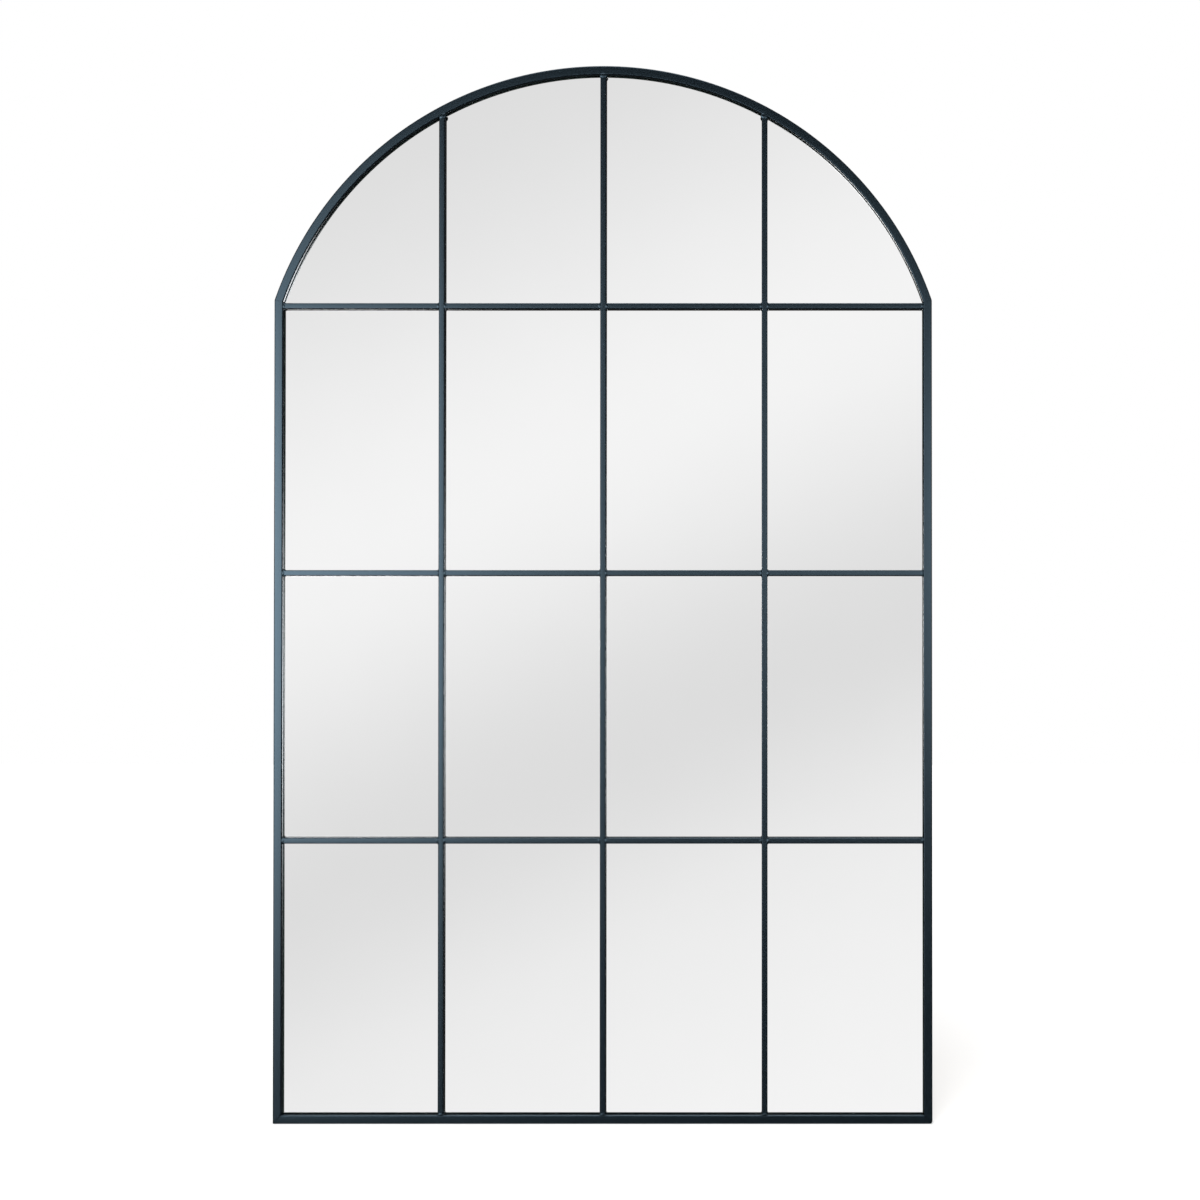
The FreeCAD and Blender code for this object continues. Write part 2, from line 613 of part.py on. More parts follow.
def make_side_screws():
    """The board's screws into both stiles."""
    body = new_body("side_screws", separate_solids=True)
    screw = add_screw(body, STILE_CENTRE, "Sizes.screw_end_distance", BOARD_BACK)
    row = repeat_along(body, screw, "Z_Axis", SIDE_SCREW_RUN, "Sizes.side_screw_count", whole=True)
    mirror_across(body, row)


def make_rail_screws():
    """The board's screws into the bottom rail."""
    body = new_body("rail_screws", separate_solids=True)
    screw = add_screw(body, f"-{RAIL_SCREW_RUN} / 2", "Sizes.tube_face / 2", BOARD_BACK)
    repeat_along(body, screw, "X_Axis", RAIL_SCREW_RUN, "Sizes.rail_screw_count", whole=True)


def make_arch_screws():
    """The board's screws into the arch, set out round the arch's centre."""
    body = new_body("arch_screws", {"z": ARCH_CENTRE}, separate_solids=True)
    screw = add_screw(
        body,
        f"-{ARCH_MIDDLE_RADIUS} * sin({ARCH_SCREW_ANGLE})",
        f"{ARCH_MIDDLE_RADIUS} * cos({ARCH_SCREW_ANGLE})",
        BOARD_BACK,
    )
    axis = (origin_of(body, "Y_Axis"), [""])
    repeat_round(body, screw, axis, f"2 * {ARCH_SCREW_ANGLE}", "Sizes.arch_screw_count", whole=True)


def make_hanger_screws():
    """Two screws through each hanger strap and the board into the stile."""
    body = new_body("hanger_screws", separate_solids=True)
    seat = f"{BOARD_BACK} + Sizes.strap_thick"
    screw = add_screw(body, STILE_CENTRE, HANGER_HOLES[-1], seat)
    count = str(len(HANGER_HOLES))
    pair = repeat_along(body, screw, "Z_Axis", "Sizes.strap_hole_pitch", count, whole=True)
    mirror_across(body, pair)


def make_hanger_strap(name, side):
    """A steel strap that lies on the board and is rolled into an eye, built round the eye's axis."""
    place = {"x": f"{side} * {STILE_CENTRE}", "y": HANGER_Y, "z": HANGER_Z}
    body = new_body(f"{name}_hanger_strap", place)
    half = STRAP_HALF_WIDTH
    foot = f"({half} - {STRAP_LENGTH})"
    plate_back = f"(-{EYE_BORE_RADIUS} - Sizes.ring_lift)"
    plate = front_sketch(body, "plate", plate_back)
    draw_polygon(plate, [(f"-{half}", foot), (half, foot), (half, "0"), (f"-{half}", "0")])
    pad(body, plate, "Sizes.strap_thick")
    round_end = front_sketch(body, "round_end", plate_back)
    draw_circle(round_end, "0", foot, half)
    pad(body, round_end, "Sizes.strap_thick")
    holes = front_sketch(body, "holes")
    for drop in (HIGH_HOLE_DROP, LOW_HOLE_DROP):
        draw_circle(holes, "0", f"-{drop}", BOARD_HOLE_RADIUS)
    cut_through(body, holes)
    eye = new_sketch(body, "eye", "YZ_Plane")
    draw_circle(eye, "0", "0", EYE_OUTER_RADIUS)
    draw_circle(eye, "0", "0", EYE_BORE_RADIUS)
    pad(body, eye, f"2 * {half}", side="Symmetric")


def make_hanger_ring(name, side):
    """A bent wire ring that hangs in the eye, built round the eye's axis."""
    place = {"x": f"{side} * {STILE_CENTRE}", "y": HANGER_Y, "z": HANGER_Z}
    body = new_body(f"{name}_hanger_ring", place)
    half = value(RING_HALF_WIDTH)
    leg = value(RING_LEG)
    bend = value("Sizes.ring_bend")
    path = front_sketch(body, "path")
    runs = [
        ((0, 0), (half - bend, 0)),
        ((half, -bend), (half, -leg)),
        ((-half, -leg), (-half, -bend)),
        ((bend - half, 0), (0, 0)),
    ]
    lines = []
    for start, end in runs:
        line = Part.LineSegment(FreeCAD.Vector(*start, 0), FreeCAD.Vector(*end, 0))
        lines.append(path.addGeometry(line))
    bar_right, leg_right, leg_left, bar_left = lines
    right_bend = new_arc(path, (half - bend, -bend), bend, 0, 90)
    bow = new_arc(path, (0, -leg), half, 180, 360)
    left_bend = new_arc(path, (bend - half, -bend), bend, 90, 180)
    tangents = [
        (bar_right, 2, right_bend, 2),
        (right_bend, 1, leg_right, 1),
        (leg_right, 2, bow, 2),
        (bow, 1, leg_left, 1),
        (leg_left, 2, left_bend, 2),
        (left_bend, 1, bar_left, 1),
    ]
    for joint in tangents:
        path.addConstraint(Sketcher.Constraint("Tangent", *joint))
    path.addConstraint(Sketcher.Constraint("Coincident", bar_right, 1, -1, 1))
    path.addConstraint(Sketcher.Constraint("Coincident", bar_left, 2, bar_right, 1))
    path.addConstraint(Sketcher.Constraint("Horizontal", bar_right))
    path.addConstraint(Sketcher.Constraint("Horizontal", bar_left))
    path.addConstraint(Sketcher.Constraint("Vertical", leg_right))
    path.addConstraint(Sketcher.Constraint("Vertical", leg_left))
    path.addConstraint(Sketcher.Constraint("Equal", right_bend, left_bend))
    path.addConstraint(Sketcher.Constraint("PointOnObject", bow, 3, -2))
    dimension(path, "Radius", (right_bend,), "Sizes.ring_bend")
    dimension(path, "Radius", (bow,), RING_HALF_WIDTH)
    dimension(path, "DistanceY", (-1, 1, bow, 3), f"-{RING_LEG}")
    wire = new_sketch(body, "wire", "YZ_Plane")
    draw_circle(wire, "0", "0", "Sizes.ring_wire / 2")
    ring = body.newObject("PartDesign::AdditivePipe", f"{name}_hanger_ring_pipe")
    ring.Profile = wire
    ring.Spine = path


def make_wall_bumpers():
    """Rubber bumpers on the back: two near the floor and two near the crown, where it leans."""
    body = new_body("wall_bumpers", separate_solids=True)
    discs = front_sketch(body, "discs", BOARD_BACK)
    radius = "Sizes.bumper_diameter / 2"
    crown_radius = f"({ARCH_RADIUS} - Sizes.bumper_inset)"
    crown_height = f"{ARCH_CENTRE} + sqrt({crown_radius} ^ 2 - Sizes.bumper_spread ^ 2)"
    draw_circle(discs, f"{HALF_WIDTH} - Sizes.bumper_inset", "Sizes.bumper_inset", radius)
    draw_circle(discs, "Sizes.bumper_spread", crown_height, radius)
    feet = pad(body, discs, "Sizes.bumper_height", backwards=True)
    feet.setExpression("TaperAngle", "-Sizes.bumper_taper")
    mirror_across(body, feet)


def check_document():
    """Stop if any object failed or any body has no sound shape."""
    for item in doc.Objects:
        if "Invalid" in item.State or "Error" in item.State:
            raise RuntimeError(f"{item.Name} failed: {item.State}")
    for body in bodies():
        if body.Shape.isNull() or not body.Shape.isValid() or not body.Shape.Solids:
            raise RuntimeError(f"{body.Label} has no sound shape")


def bodies():
    """Every node of the mirror."""
    return [item for item in doc.Objects if item.TypeId == "PartDesign::Body"]


make_bottom_rail()
for side_name, side_sign in SIDES.items():
    make_stile(side_name, side_sign)
make_arch_head()
for upright_index, upright_name in enumerate(UPRIGHT_NAMES):
    make_upright_bar(upright_name, upright_index)
for row_index, row_name in enumerate(ROW_NAMES):
    for column_index in range(COLUMNS):
        make_cross_bar(row_name, row_index, column_index)
make_mirror_glass()
make_setting_blocks()
make_foam_tape()
make_back_board()
make_side_screws()
make_rail_screws()
make_arch_screws()
make_hanger_screws()
for side_name, side_sign in SIDES.items():
    make_hanger_strap(side_name, side_sign)
    make_hanger_ring(side_name, side_sign)
make_wall_bumpers()

doc.recompute()
check_document()
os.makedirs("parts", exist_ok=True)
for body in bodies():
    shape = body.Shape
    print(f"{body.Label}: {len(shape.Solids)} solids, {shape.Volume / 1000:.2f} cm3")
    shape.exportStep(f"parts/{body.Label}.step")
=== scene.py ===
# %% [markdown]
# # An arched floor mirror
# The frame that this lesson loads holds every piece of the mirror at its real size: steel tubes,
# glazing bars, one sheet of mirror, a back board and its fittings. Here each piece gets the looks
# of the real thing. Most pieces are modelled again, because rounded edges, joint lines, welds and
# screw recesses make a finish, and the construction model doesn't carry them. Lengths are metres.

# %% Load the frame
import json
import math

import bpy
from mathutils import Matrix, Vector


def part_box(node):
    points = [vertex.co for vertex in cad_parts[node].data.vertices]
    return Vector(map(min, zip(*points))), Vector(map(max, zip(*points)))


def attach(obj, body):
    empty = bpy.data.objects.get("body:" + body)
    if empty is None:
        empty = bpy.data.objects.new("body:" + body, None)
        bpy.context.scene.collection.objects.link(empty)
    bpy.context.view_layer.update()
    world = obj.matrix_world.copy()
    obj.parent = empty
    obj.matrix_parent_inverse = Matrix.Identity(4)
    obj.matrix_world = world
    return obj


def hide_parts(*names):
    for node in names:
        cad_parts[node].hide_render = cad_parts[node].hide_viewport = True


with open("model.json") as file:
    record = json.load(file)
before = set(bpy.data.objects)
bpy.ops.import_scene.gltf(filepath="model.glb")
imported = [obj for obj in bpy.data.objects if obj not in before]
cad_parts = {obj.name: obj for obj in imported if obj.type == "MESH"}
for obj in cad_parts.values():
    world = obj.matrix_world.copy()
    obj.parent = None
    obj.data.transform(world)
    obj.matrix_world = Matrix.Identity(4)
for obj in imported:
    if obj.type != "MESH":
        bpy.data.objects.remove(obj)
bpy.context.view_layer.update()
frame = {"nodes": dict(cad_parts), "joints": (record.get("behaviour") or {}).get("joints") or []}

MM = 0.001
print("loaded", len(frame["nodes"]), "nodes")

# %% [markdown]
# ## Sizes
# Numbers typed twice drift apart, so the boxes of the loaded nodes give the sizes here. The arch
# is part of a circle through both shoulders and the crown, and that circle follows from the width
# and the rise.

# %% Read the sizes from the frame
rail_low, rail_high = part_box("bottom_rail")
HALF_WIDTH = rail_high.x
TUBE_FACE = rail_high.z
FRONT = rail_low.y
TUBE_BACK = rail_high.y
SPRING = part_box("right_stile")[1].z
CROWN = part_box("arch_head")[1].z
RISE = CROWN - SPRING
ARCH_RADIUS = (HALF_WIDTH ** 2 + RISE ** 2) / (2 * RISE)
ARCH_INNER = ARCH_RADIUS - TUBE_FACE
ARCH_CENTRE = Vector((0, 0, CROWN - ARCH_RADIUS))
INNER_HALF = HALF_WIDTH - TUBE_FACE
INNER_SPRING = ARCH_CENTRE.z + math.sqrt(ARCH_INNER ** 2 - INNER_HALF ** 2)
UPRIGHTS = ["left", "centre", "right"]
ROWS = ["low", "middle", "high"]
SIDES = {"left": -1, "right": 1}
print(f"arch radius {ARCH_RADIUS:.4f} about height {ARCH_CENTRE.z:.4f}")

# %% [markdown]
# ## Colours and nodes
# A colour picker shows sRGB, and shaders calculate in linear light, so one function turns a hex
# value into linear numbers. A second one adds a node with its settings and its links, so a
# material reads from top to bottom like a list of nodes.

# %% Helpers for materials
def linear(hex_colour):
    """An sRGB hex colour as linear red, green and blue, with alpha."""
    shares = [int(hex_colour[start:start + 2], 16) / 255 for start in (1, 3, 5)]
    return [s / 12.92 if s <= 0.04045 else ((s + 0.055) / 1.055) ** 2.4 for s in shares] + [1]


def add_node(tree, kind, inputs=None, **settings):
    """Add a node with its settings, and fill its inputs with values or with other outputs."""
    node = tree.nodes.new(kind)
    for name, setting in settings.items():
        setattr(node, name, setting)
    for name, source in (inputs or {}).items():
        if isinstance(source, bpy.types.NodeSocket):
            tree.links.new(source, node.inputs[name])
        else:
            node.inputs[name].default_value = source
    return node


def new_material(name):
    """A material with its node tree, its shader and the object coordinates."""
    material = bpy.data.materials.new(name)
    material.use_nodes = True
    tree = material.node_tree
    place = add_node(tree, "ShaderNodeTexCoord").outputs["Object"]
    return material, tree, tree.nodes["Principled BSDF"], place


MIX_FACTOR, MIX_A, MIX_B, MIX_RESULT = 0, 6, 7, 2
print("#808080 is", round(linear("#808080")[0], 3), "in linear light")

# %% [markdown]
# ## The paint
# The frame is powder coated: dry powder is blown onto the steel and melted into one skin. The
# colour is a blue-black, and the skin is satin, so a soft lamp gives a broad cool sheen instead
# of a sharp glint. Melted powder never lies quite flat. Its faint ripple is called orange peel,
# and a fine noise in the bump and the roughness gives it.

# %% Powder coat
def powder_coat():
    """Satin blue-black powder coat on steel: a broad cool sheen, broken up by fine orange peel."""
    peel_size = 1.6 * MM
    cloud_size = 90 * MM
    material, tree, shader, place = new_material("powder_coated_steel_satin")
    cloud = add_node(
        tree, "ShaderNodeTexNoise", {"Vector": place, "Scale": 1 / cloud_size, "Detail": 4},
    )
    peel = add_node(tree, "ShaderNodeTexNoise", {"Vector": place, "Scale": 1 / peel_size, "Detail": 2})
    tone = add_node(
        tree, "ShaderNodeMix",
        {MIX_FACTOR: cloud.outputs["Fac"], MIX_A: linear("#0C1216"), MIX_B: linear("#10171C")},
        data_type="RGBA",
    )
    gloss = add_node(
        tree, "ShaderNodeMapRange", {"Value": peel.outputs["Fac"], "To Min": 0.21, "To Max": 0.25},
    )
    ripple = add_node(
        tree, "ShaderNodeBump",
        {"Height": peel.outputs["Fac"], "Strength": 0.12, "Distance": 0.05 * MM},
    )
    tree.links.new(tone.outputs[MIX_RESULT], shader.inputs["Base Color"])
    tree.links.new(gloss.outputs["Result"], shader.inputs["Roughness"])
    tree.links.new(ripple.outputs["Normal"], shader.inputs["Normal"])
    shader.inputs["Specular Tint"].default_value = linear("#C1E6FF")
    return material


PAINT = powder_coat()
print("made", PAINT.name)

# %% [markdown]
# ## Modelling by hand, in code
# An operator works on whatever is selected, so each step first selects what it needs. One helper
# enters edit mode with only the wanted vertices, edges or polygons selected. A second one adds a
# modifier and applies it. The last one ends every piece: smooth shading by angle, weighted normals
# that keep the flat faces flat, the finish, and the body that the piece rides on.

# %% Helpers for modelling
SELECT_MODES = {
    "vertices": (True, False, False),
    "edges": (False, True, False),
    "polygons": (False, False, True),
}
SMOOTH_ANGLE = math.radians(40)
MERGE_DISTANCE = 0.01 * MM
CUT_DISTANCE = 0.001 * MM


def clear_selection():
    """Deselect every object, because an operator acts on all that is selected."""
    bpy.ops.object.select_all(action="DESELECT")


def choose(piece):
    """Make one object the only selected one and the active one."""
    clear_selection()
    piece.select_set(True)
    bpy.context.view_layer.objects.active = piece


def edit_selected(piece, parts, wanted):
    """Enter edit mode with only the wanted vertices, edges or polygons selected."""
    choose(piece)
    bpy.ops.object.mode_set(mode="EDIT")
    bpy.context.tool_settings.mesh_select_mode = SELECT_MODES[parts]
    bpy.ops.mesh.select_all(action="DESELECT")
    bpy.ops.object.mode_set(mode="OBJECT")
    for part in getattr(piece.data, parts):
        part.select = wanted(part)
    bpy.ops.object.mode_set(mode="EDIT")


def end_edit():
    """Go back to object mode."""
    bpy.ops.object.mode_set(mode="OBJECT")


def everything(part):
    """Wanted by steps that work on the whole mesh."""
    return True


def extrude(offset):
    """Extrude what is selected and move it on."""
    bpy.ops.mesh.extrude_region_move(TRANSFORM_OT_translate={"value": offset})


def new_piece(name, scale=(1, 1, 1)):
    """Name the primitive that was just added, and put its place and its size into its mesh."""
    piece = bpy.context.object
    piece.name = name
    piece.data.name = name
    piece.scale = scale
    bpy.ops.object.transform_apply(location=True, rotation=True, scale=True)
    return piece


def apply_modifier(piece, kind, **settings):
    """Add a modifier, set it and apply it."""
    choose(piece)
    modifier = piece.modifiers.new(kind.lower(), kind)
    for name, setting in settings.items():
        setattr(modifier, name, setting)
    bpy.ops.object.modifier_apply(modifier=modifier.name)


def face_outwards(piece):
    """Close doubled points and turn every face outwards."""
    edit_selected(piece, "polygons", everything)
    bpy.ops.mesh.remove_doubles(threshold=MERGE_DISTANCE)
    bpy.ops.mesh.normals_make_consistent(inside=False)
    end_edit()


def join_pieces(name, pieces):
    """Join several objects into one piece."""
    choose(pieces[0])
    for piece in pieces:
        piece.select_set(True)
    bpy.ops.object.join()
    joined = bpy.context.object
    joined.name = name
    joined.data.name = name
    return joined


def complete(piece, material, nodes=(), body="mirror"):
    """Smooth a piece, give it its finish and let it ride on its body in place of its nodes."""
    choose(piece)
    bpy.ops.object.shade_smooth_by_angle(angle=SMOOTH_ANGLE)
    apply_modifier(piece, "WEIGHTED_NORMAL", keep_sharp=True)
    if not piece.data.materials:
        piece.data.materials.append(material)
    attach(piece, body)
    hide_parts(*nodes)
    print(f"{piece.name}: {len(piece.data.polygons)} faces")
    return piece


print("edges stay sharp above", round(math.degrees(SMOOTH_ANGLE)), "degrees")

# %% [markdown]
# ## Straight tubes
# A length of square tube is drawn through rollers, which leaves round edges. A cube between two
# corners of the node's box, with its four long edges bevelled, gives that. The ends of the real
# tubes are sawn at an angle, welded and ground flat, and a hair line stays in the paint, wider at
# the foot than elsewhere. So each end is cut with bisect, and its rim gets a fine chamfer: two
# chamfers that meet make the line. The grinder also took the points off the two lower corners, by
# eye and not alike, and a few more cuts with bisect, each turned a little further, do the same.

# %% Rail and stiles
TUBE_CORNER = 2 * MM
CORNER_STEPS = 4
FOOT_LINE = 0.6 * MM
SPRING_LINE = 0.15 * MM
GROUND_CORNER = {"left": 2 * MM, "right": 6 * MM}
RAIL_TURNS = [math.radians(degrees) for degrees in (10, 20, 30, 40)]
STILE_TURNS = [math.radians(degrees) for degrees in (50, 60, 70, 80)]
STRAIGHT = 0.999


def is_along(piece, edge, direction):
    """Whether an edge runs along a direction."""
    start, end = (piece.data.vertices[index].co for index in edge.vertices)
    return abs((end - start).normalized().dot(direction)) > STRAIGHT


def rounded_length(name, low, high, corner):
    """A straight length between two corners of a box, with its long edges rounded."""
    clear_selection()
    size = high - low
    bpy.ops.mesh.primitive_cube_add(size=1, location=(low + high) / 2)
    piece = new_piece(name, size)
    run = Vector([float(side == max(size)) for side in size])
    edit_selected(piece, "edges", lambda edge: is_along(piece, edge, run))
    bpy.ops.mesh.bevel(offset=corner, segments=CORNER_STEPS, affect="EDGES")
    end_edit()
    return piece


def ease_rim(piece, outwards, chamfer):
    """Chamfer the rim of the end that faces outwards."""
    edit_selected(piece, "polygons", lambda face: face.normal.dot(outwards) > STRAIGHT)
    bpy.ops.mesh.region_to_loop()
    bpy.ops.mesh.bevel(offset=chamfer, segments=1, affect="EDGES")
    end_edit()


def cut_end(piece, point, outwards, chamfer):
    """Cut off what lies beyond a plane, close the cut and ease its rim."""
    edit_selected(piece, "polygons", everything)
    bpy.ops.mesh.bisect(plane_co=point, plane_no=outwards, use_fill=True, clear_outer=True)
    end_edit()
    ease_rim(piece, outwards, chamfer)


def grind_corner(piece, side_name, turns):
    """Take the point off a lower corner, in small cuts round a circle."""
    side, radius = SIDES[side_name], GROUND_CORNER[side_name]
    centre = Vector((side * (HALF_WIDTH - radius), 0, radius))
    for turn in turns:
        outwards = Vector((side * math.sin(turn), 0, -math.cos(turn)))
        edit_selected(piece, "polygons", everything)
        bpy.ops.mesh.bisect(
            plane_co=centre + radius * outwards, plane_no=outwards, threshold=CUT_DISTANCE,
            use_fill=True, clear_outer=True,
        )
        end_edit()


def foot_plane(side):
    """A point and the upward normal of the joint line between a stile and the rail."""
    return Vector((side * HALF_WIDTH, 0, 0)), Vector((side, 0, 1)).normalized()


def spring_plane(side):
    """A point and the upward normal of the joint line between a stile and the arch."""
    slope = Vector((-side * (SPRING - INNER_SPRING), 0, TUBE_FACE))
    return Vector((side * HALF_WIDTH, 0, SPRING)), slope.normalized()


rail = rounded_length("bottom_rail_tube", rail_low, rail_high, TUBE_CORNER)
for side_name, side in SIDES.items():
    point, up = foot_plane(side)
    cut_end(rail, point, up, FOOT_LINE)
    grind_corner(rail, side_name, RAIL_TURNS)
    stile = rounded_length(f"{side_name}_stile_tube", *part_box(f"{side_name}_stile"), TUBE_CORNER)
    cut_end(stile, point, -up, FOOT_LINE)
    cut_end(stile, *spring_plane(side), SPRING_LINE)
    grind_corner(stile, side_name, STILE_TURNS)
    complete(stile, PAINT, [f"{side_name}_stile"])
complete(rail, PAINT, ["bottom_rail"])

# %% [markdown]
# ## The arch
# The head is the same tube, rolled to a curve. A round path asks for spin: one flat section of the
# tube, with its corners rounded, swept about the centre of the arch. It starts and ends beyond
# the shoulders, and the same plane that trims the stile then trims the arch, so they meet.

# %% Arch head
ARCH_STEPS = 120
BEYOND = math.radians(2)


def spun_section(name, inner, outer, near, far, corner):
    """A rectangular section between two radii and two depths, spun about the arch's centre."""
    half_sweep = math.asin(HALF_WIDTH / ARCH_RADIUS) + BEYOND
    middle = (inner + outer) / 2
    start = ARCH_CENTRE + middle * Vector((-math.sin(half_sweep), 0, math.cos(half_sweep)))
    start.y = (near + far) / 2
    clear_selection()
    bpy.ops.mesh.primitive_plane_add(size=1, location=start, rotation=(0, math.pi / 2 - half_sweep, 0))
    piece = new_piece(name, (outer - inner, far - near, 1))
    if corner:
        edit_selected(piece, "vertices", everything)
        bpy.ops.mesh.bevel(offset=corner, segments=CORNER_STEPS, affect="VERTICES")
        end_edit()
    edit_selected(piece, "polygons", everything)
    bpy.ops.mesh.spin(steps=ARCH_STEPS, angle=2 * half_sweep, center=ARCH_CENTRE, axis=(0, -1, 0))
    end_edit()
    face_outwards(piece)
    return piece


arch = spun_section("arch_head_tube", ARCH_INNER, ARCH_RADIUS, FRONT, TUBE_BACK, TUBE_CORNER)
for side in SIDES.values():
    point, up = spring_plane(side)
    cut_end(arch, point, -up, SPRING_LINE)
complete(arch, PAINT, ["arch_head"])

# %% [markdown]
# ## Glazing bars
# The bars are a thinner tube. Three uprights run from the rail to the arch, and short cross bars
# fill in between. The top of an upright is shaped to the curve it meets, which a fitter calls
# coping. A Boolean with a spun ring does the same cut here.

# %% Uprights and cross bars
BAR_CORNER = 1.5 * MM
CUTTER_WIDTH = 30 * MM
DOWN = Vector((0, 0, -1))
RIGHT = Vector((1, 0, 0))
BACKWARDS = Vector((0, 1, 0))
cope_cutter = spun_section(
    "cope_cutter", ARCH_INNER, ARCH_INNER + CUTTER_WIDTH, 2 * FRONT, 2 * TUBE_BACK, 0,
)
for name in UPRIGHTS:
    node = f"upright_bar_{name}"
    bar = rounded_length(f"{node}_tube", *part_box(node), BAR_CORNER)
    apply_modifier(bar, "BOOLEAN", object=cope_cutter, operation="DIFFERENCE", solver="EXACT")
    ease_rim(bar, DOWN, SPRING_LINE)
    complete(bar, PAINT, [node])
bpy.data.objects.remove(cope_cutter)
cross_bar_nodes = [
    f"cross_bar_{row}_{column + 1}" for row in ROWS for column in range(len(UPRIGHTS) + 1)
]
for node in cross_bar_nodes:
    bar = rounded_length(f"{node}_tube", *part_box(node), BAR_CORNER)
    ease_rim(bar, RIGHT, SPRING_LINE)
    ease_rim(bar, -RIGHT, SPRING_LINE)
    complete(bar, PAINT, [node])

# %% [markdown]
# ## Welds
# Each bar end is held by weld: a mound on the front where the torch stopped, and a bead in the
# corner on each side. At the arch the mound stays proud, and at the straight tubes it is ground
# down, so there are two kinds. Each kind is modelled once, from three pulled spheres that Displace
# makes uneven, and then copied to its joints. A mound is sunk into the tube, so that it
# rises at a gentle slope as melted steel does.

# %% Weld beads
BAR_HALF = (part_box("upright_bar_centre")[1].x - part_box("upright_bar_centre")[0].x) / 2
BAR_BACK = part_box("upright_bar_centre")[1].y
BEAD = 1.5 * MM
BEAD_SEGMENTS, BEAD_RINGS = 20, 12
PROUD_MOUND = Vector((1.35 * BAR_HALF, 1.2 * MM, 5 * MM))
PROUD_SINK = 0.7 * MM
GROUND_MOUND = Vector((BAR_HALF, 1 * MM, 3.4 * MM))
GROUND_SINK = 0.75 * MM
RIPPLE = 0.35 * MM


def pulled_sphere(place, size):
    """A sphere pulled to a size, as the start of a weld bead."""
    clear_selection()
    bpy.ops.mesh.primitive_uv_sphere_add(
        segments=BEAD_SEGMENTS, ring_count=BEAD_RINGS, radius=1, location=place,
    )
    return new_piece("bead", size)


def weld_at_origin(mound, sink):
    """A weld for a bar that comes from below and ends at the origin, at the bar's own depth."""
    depth = (BAR_BACK - FRONT) / 2
    bead_size = Vector((BEAD, depth, BEAD))
    mound_height = -mound.z / 3
    beads = [pulled_sphere((0, FRONT + sink, mound_height), mound)]
    for side in SIDES.values():
        beads.append(pulled_sphere((side * BAR_HALF, FRONT + depth, 0), bead_size))
    weld = join_pieces("weld", beads)
    ripples = bpy.data.textures.new("weld_ripples", "CLOUDS")
    ripples.noise_scale = 2 * BEAD
    apply_modifier(weld, "DISPLACE", texture=ripples, strength=RIPPLE)
    return weld


def weld_places():
    """Where bars end at the arch and at straight tubes, each with its turn about Y."""
    at_arch, at_tubes = [], []
    for name in UPRIGHTS:
        low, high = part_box(f"upright_bar_{name}")
        across = (low.x + high.x) / 2
        lean = math.asin(across / ARCH_INNER)
        top = ARCH_CENTRE.z + ARCH_INNER * math.cos(lean)
        at_arch.append((Vector((across, 0, top)), lean))
        at_tubes.append((Vector((across, 0, low.z)), math.pi))
    for node in cross_bar_nodes:
        low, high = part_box(node)
        height = (low.z + high.z) / 2
        at_tubes.append((Vector((low.x, 0, height)), -math.pi / 2))
        at_tubes.append((Vector((high.x, 0, height)), math.pi / 2))
    return at_arch, at_tubes


at_arch, at_tubes = weld_places()
print(len(at_arch), "welds at the arch and", len(at_tubes), "at straight tubes")

# %% Welds at every joint
proud_weld = weld_at_origin(PROUD_MOUND, PROUD_SINK)
ground_weld = weld_at_origin(GROUND_MOUND, GROUND_SINK)
welds = []
for model_weld, places in ((proud_weld, at_arch), (ground_weld, at_tubes)):
    for place, turn in places:
        weld = model_weld.copy()
        weld.data = model_weld.data.copy()
        weld.data.transform(Matrix.Translation(place) @ Matrix.Rotation(turn, 4, "Y"))
        bpy.context.scene.collection.objects.link(weld)
        welds.append(weld)
    bpy.data.objects.remove(model_weld)
complete(join_pieces("bar_welds", welds), PAINT)

# %% [markdown]
# ## The mirror
# One sheet of float glass, silvered on its back, stands behind all the bars. It is modelled as a
# disc cut at the shoulders, drawn down to the foot and thickened, and its rim gets the flat
# arris that a grinder leaves. The silver is what the eye sees, so the front face is a nearly
# perfect mirror, and only the rim shows the green of the glass.

# %% Mirror finishes
def silvered_glass():
    """Silver behind clear float glass: a sharp reflection with the slightest haze."""
    haze_size = 120 * MM
    material, tree, shader, place = new_material("silvered_float_glass")
    haze = add_node(tree, "ShaderNodeTexNoise", {"Vector": place, "Scale": 1 / haze_size, "Detail": 3})
    tone = add_node(
        tree, "ShaderNodeMix",
        {MIX_FACTOR: haze.outputs["Fac"], MIX_A: linear("#F8F8F8"), MIX_B: linear("#FAFAFA")},
        data_type="RGBA",
    )
    tree.links.new(tone.outputs[MIX_RESULT], shader.inputs["Base Color"])
    shader.inputs["Roughness"].default_value = 0
    shader.inputs["Metallic"].default_value = 1
    return material


def ground_glass():
    """The ground rim of float glass: a matt grey-green from the iron in the glass."""
    scratch_size = 0.6 * MM
    material, tree, shader, place = new_material("ground_glass_edge")
    scratch = add_node(
        tree, "ShaderNodeTexNoise", {"Vector": place, "Scale": 1 / scratch_size, "Detail": 3},
    )
    tone = add_node(
        tree, "ShaderNodeMix",
        {MIX_FACTOR: scratch.outputs["Fac"], MIX_A: linear("#7FA295"), MIX_B: linear("#A9C4B8")},
        data_type="RGBA",
    )
    tree.links.new(tone.outputs[MIX_RESULT], shader.inputs["Base Color"])
    shader.inputs["Roughness"].default_value = 0.45
    return material


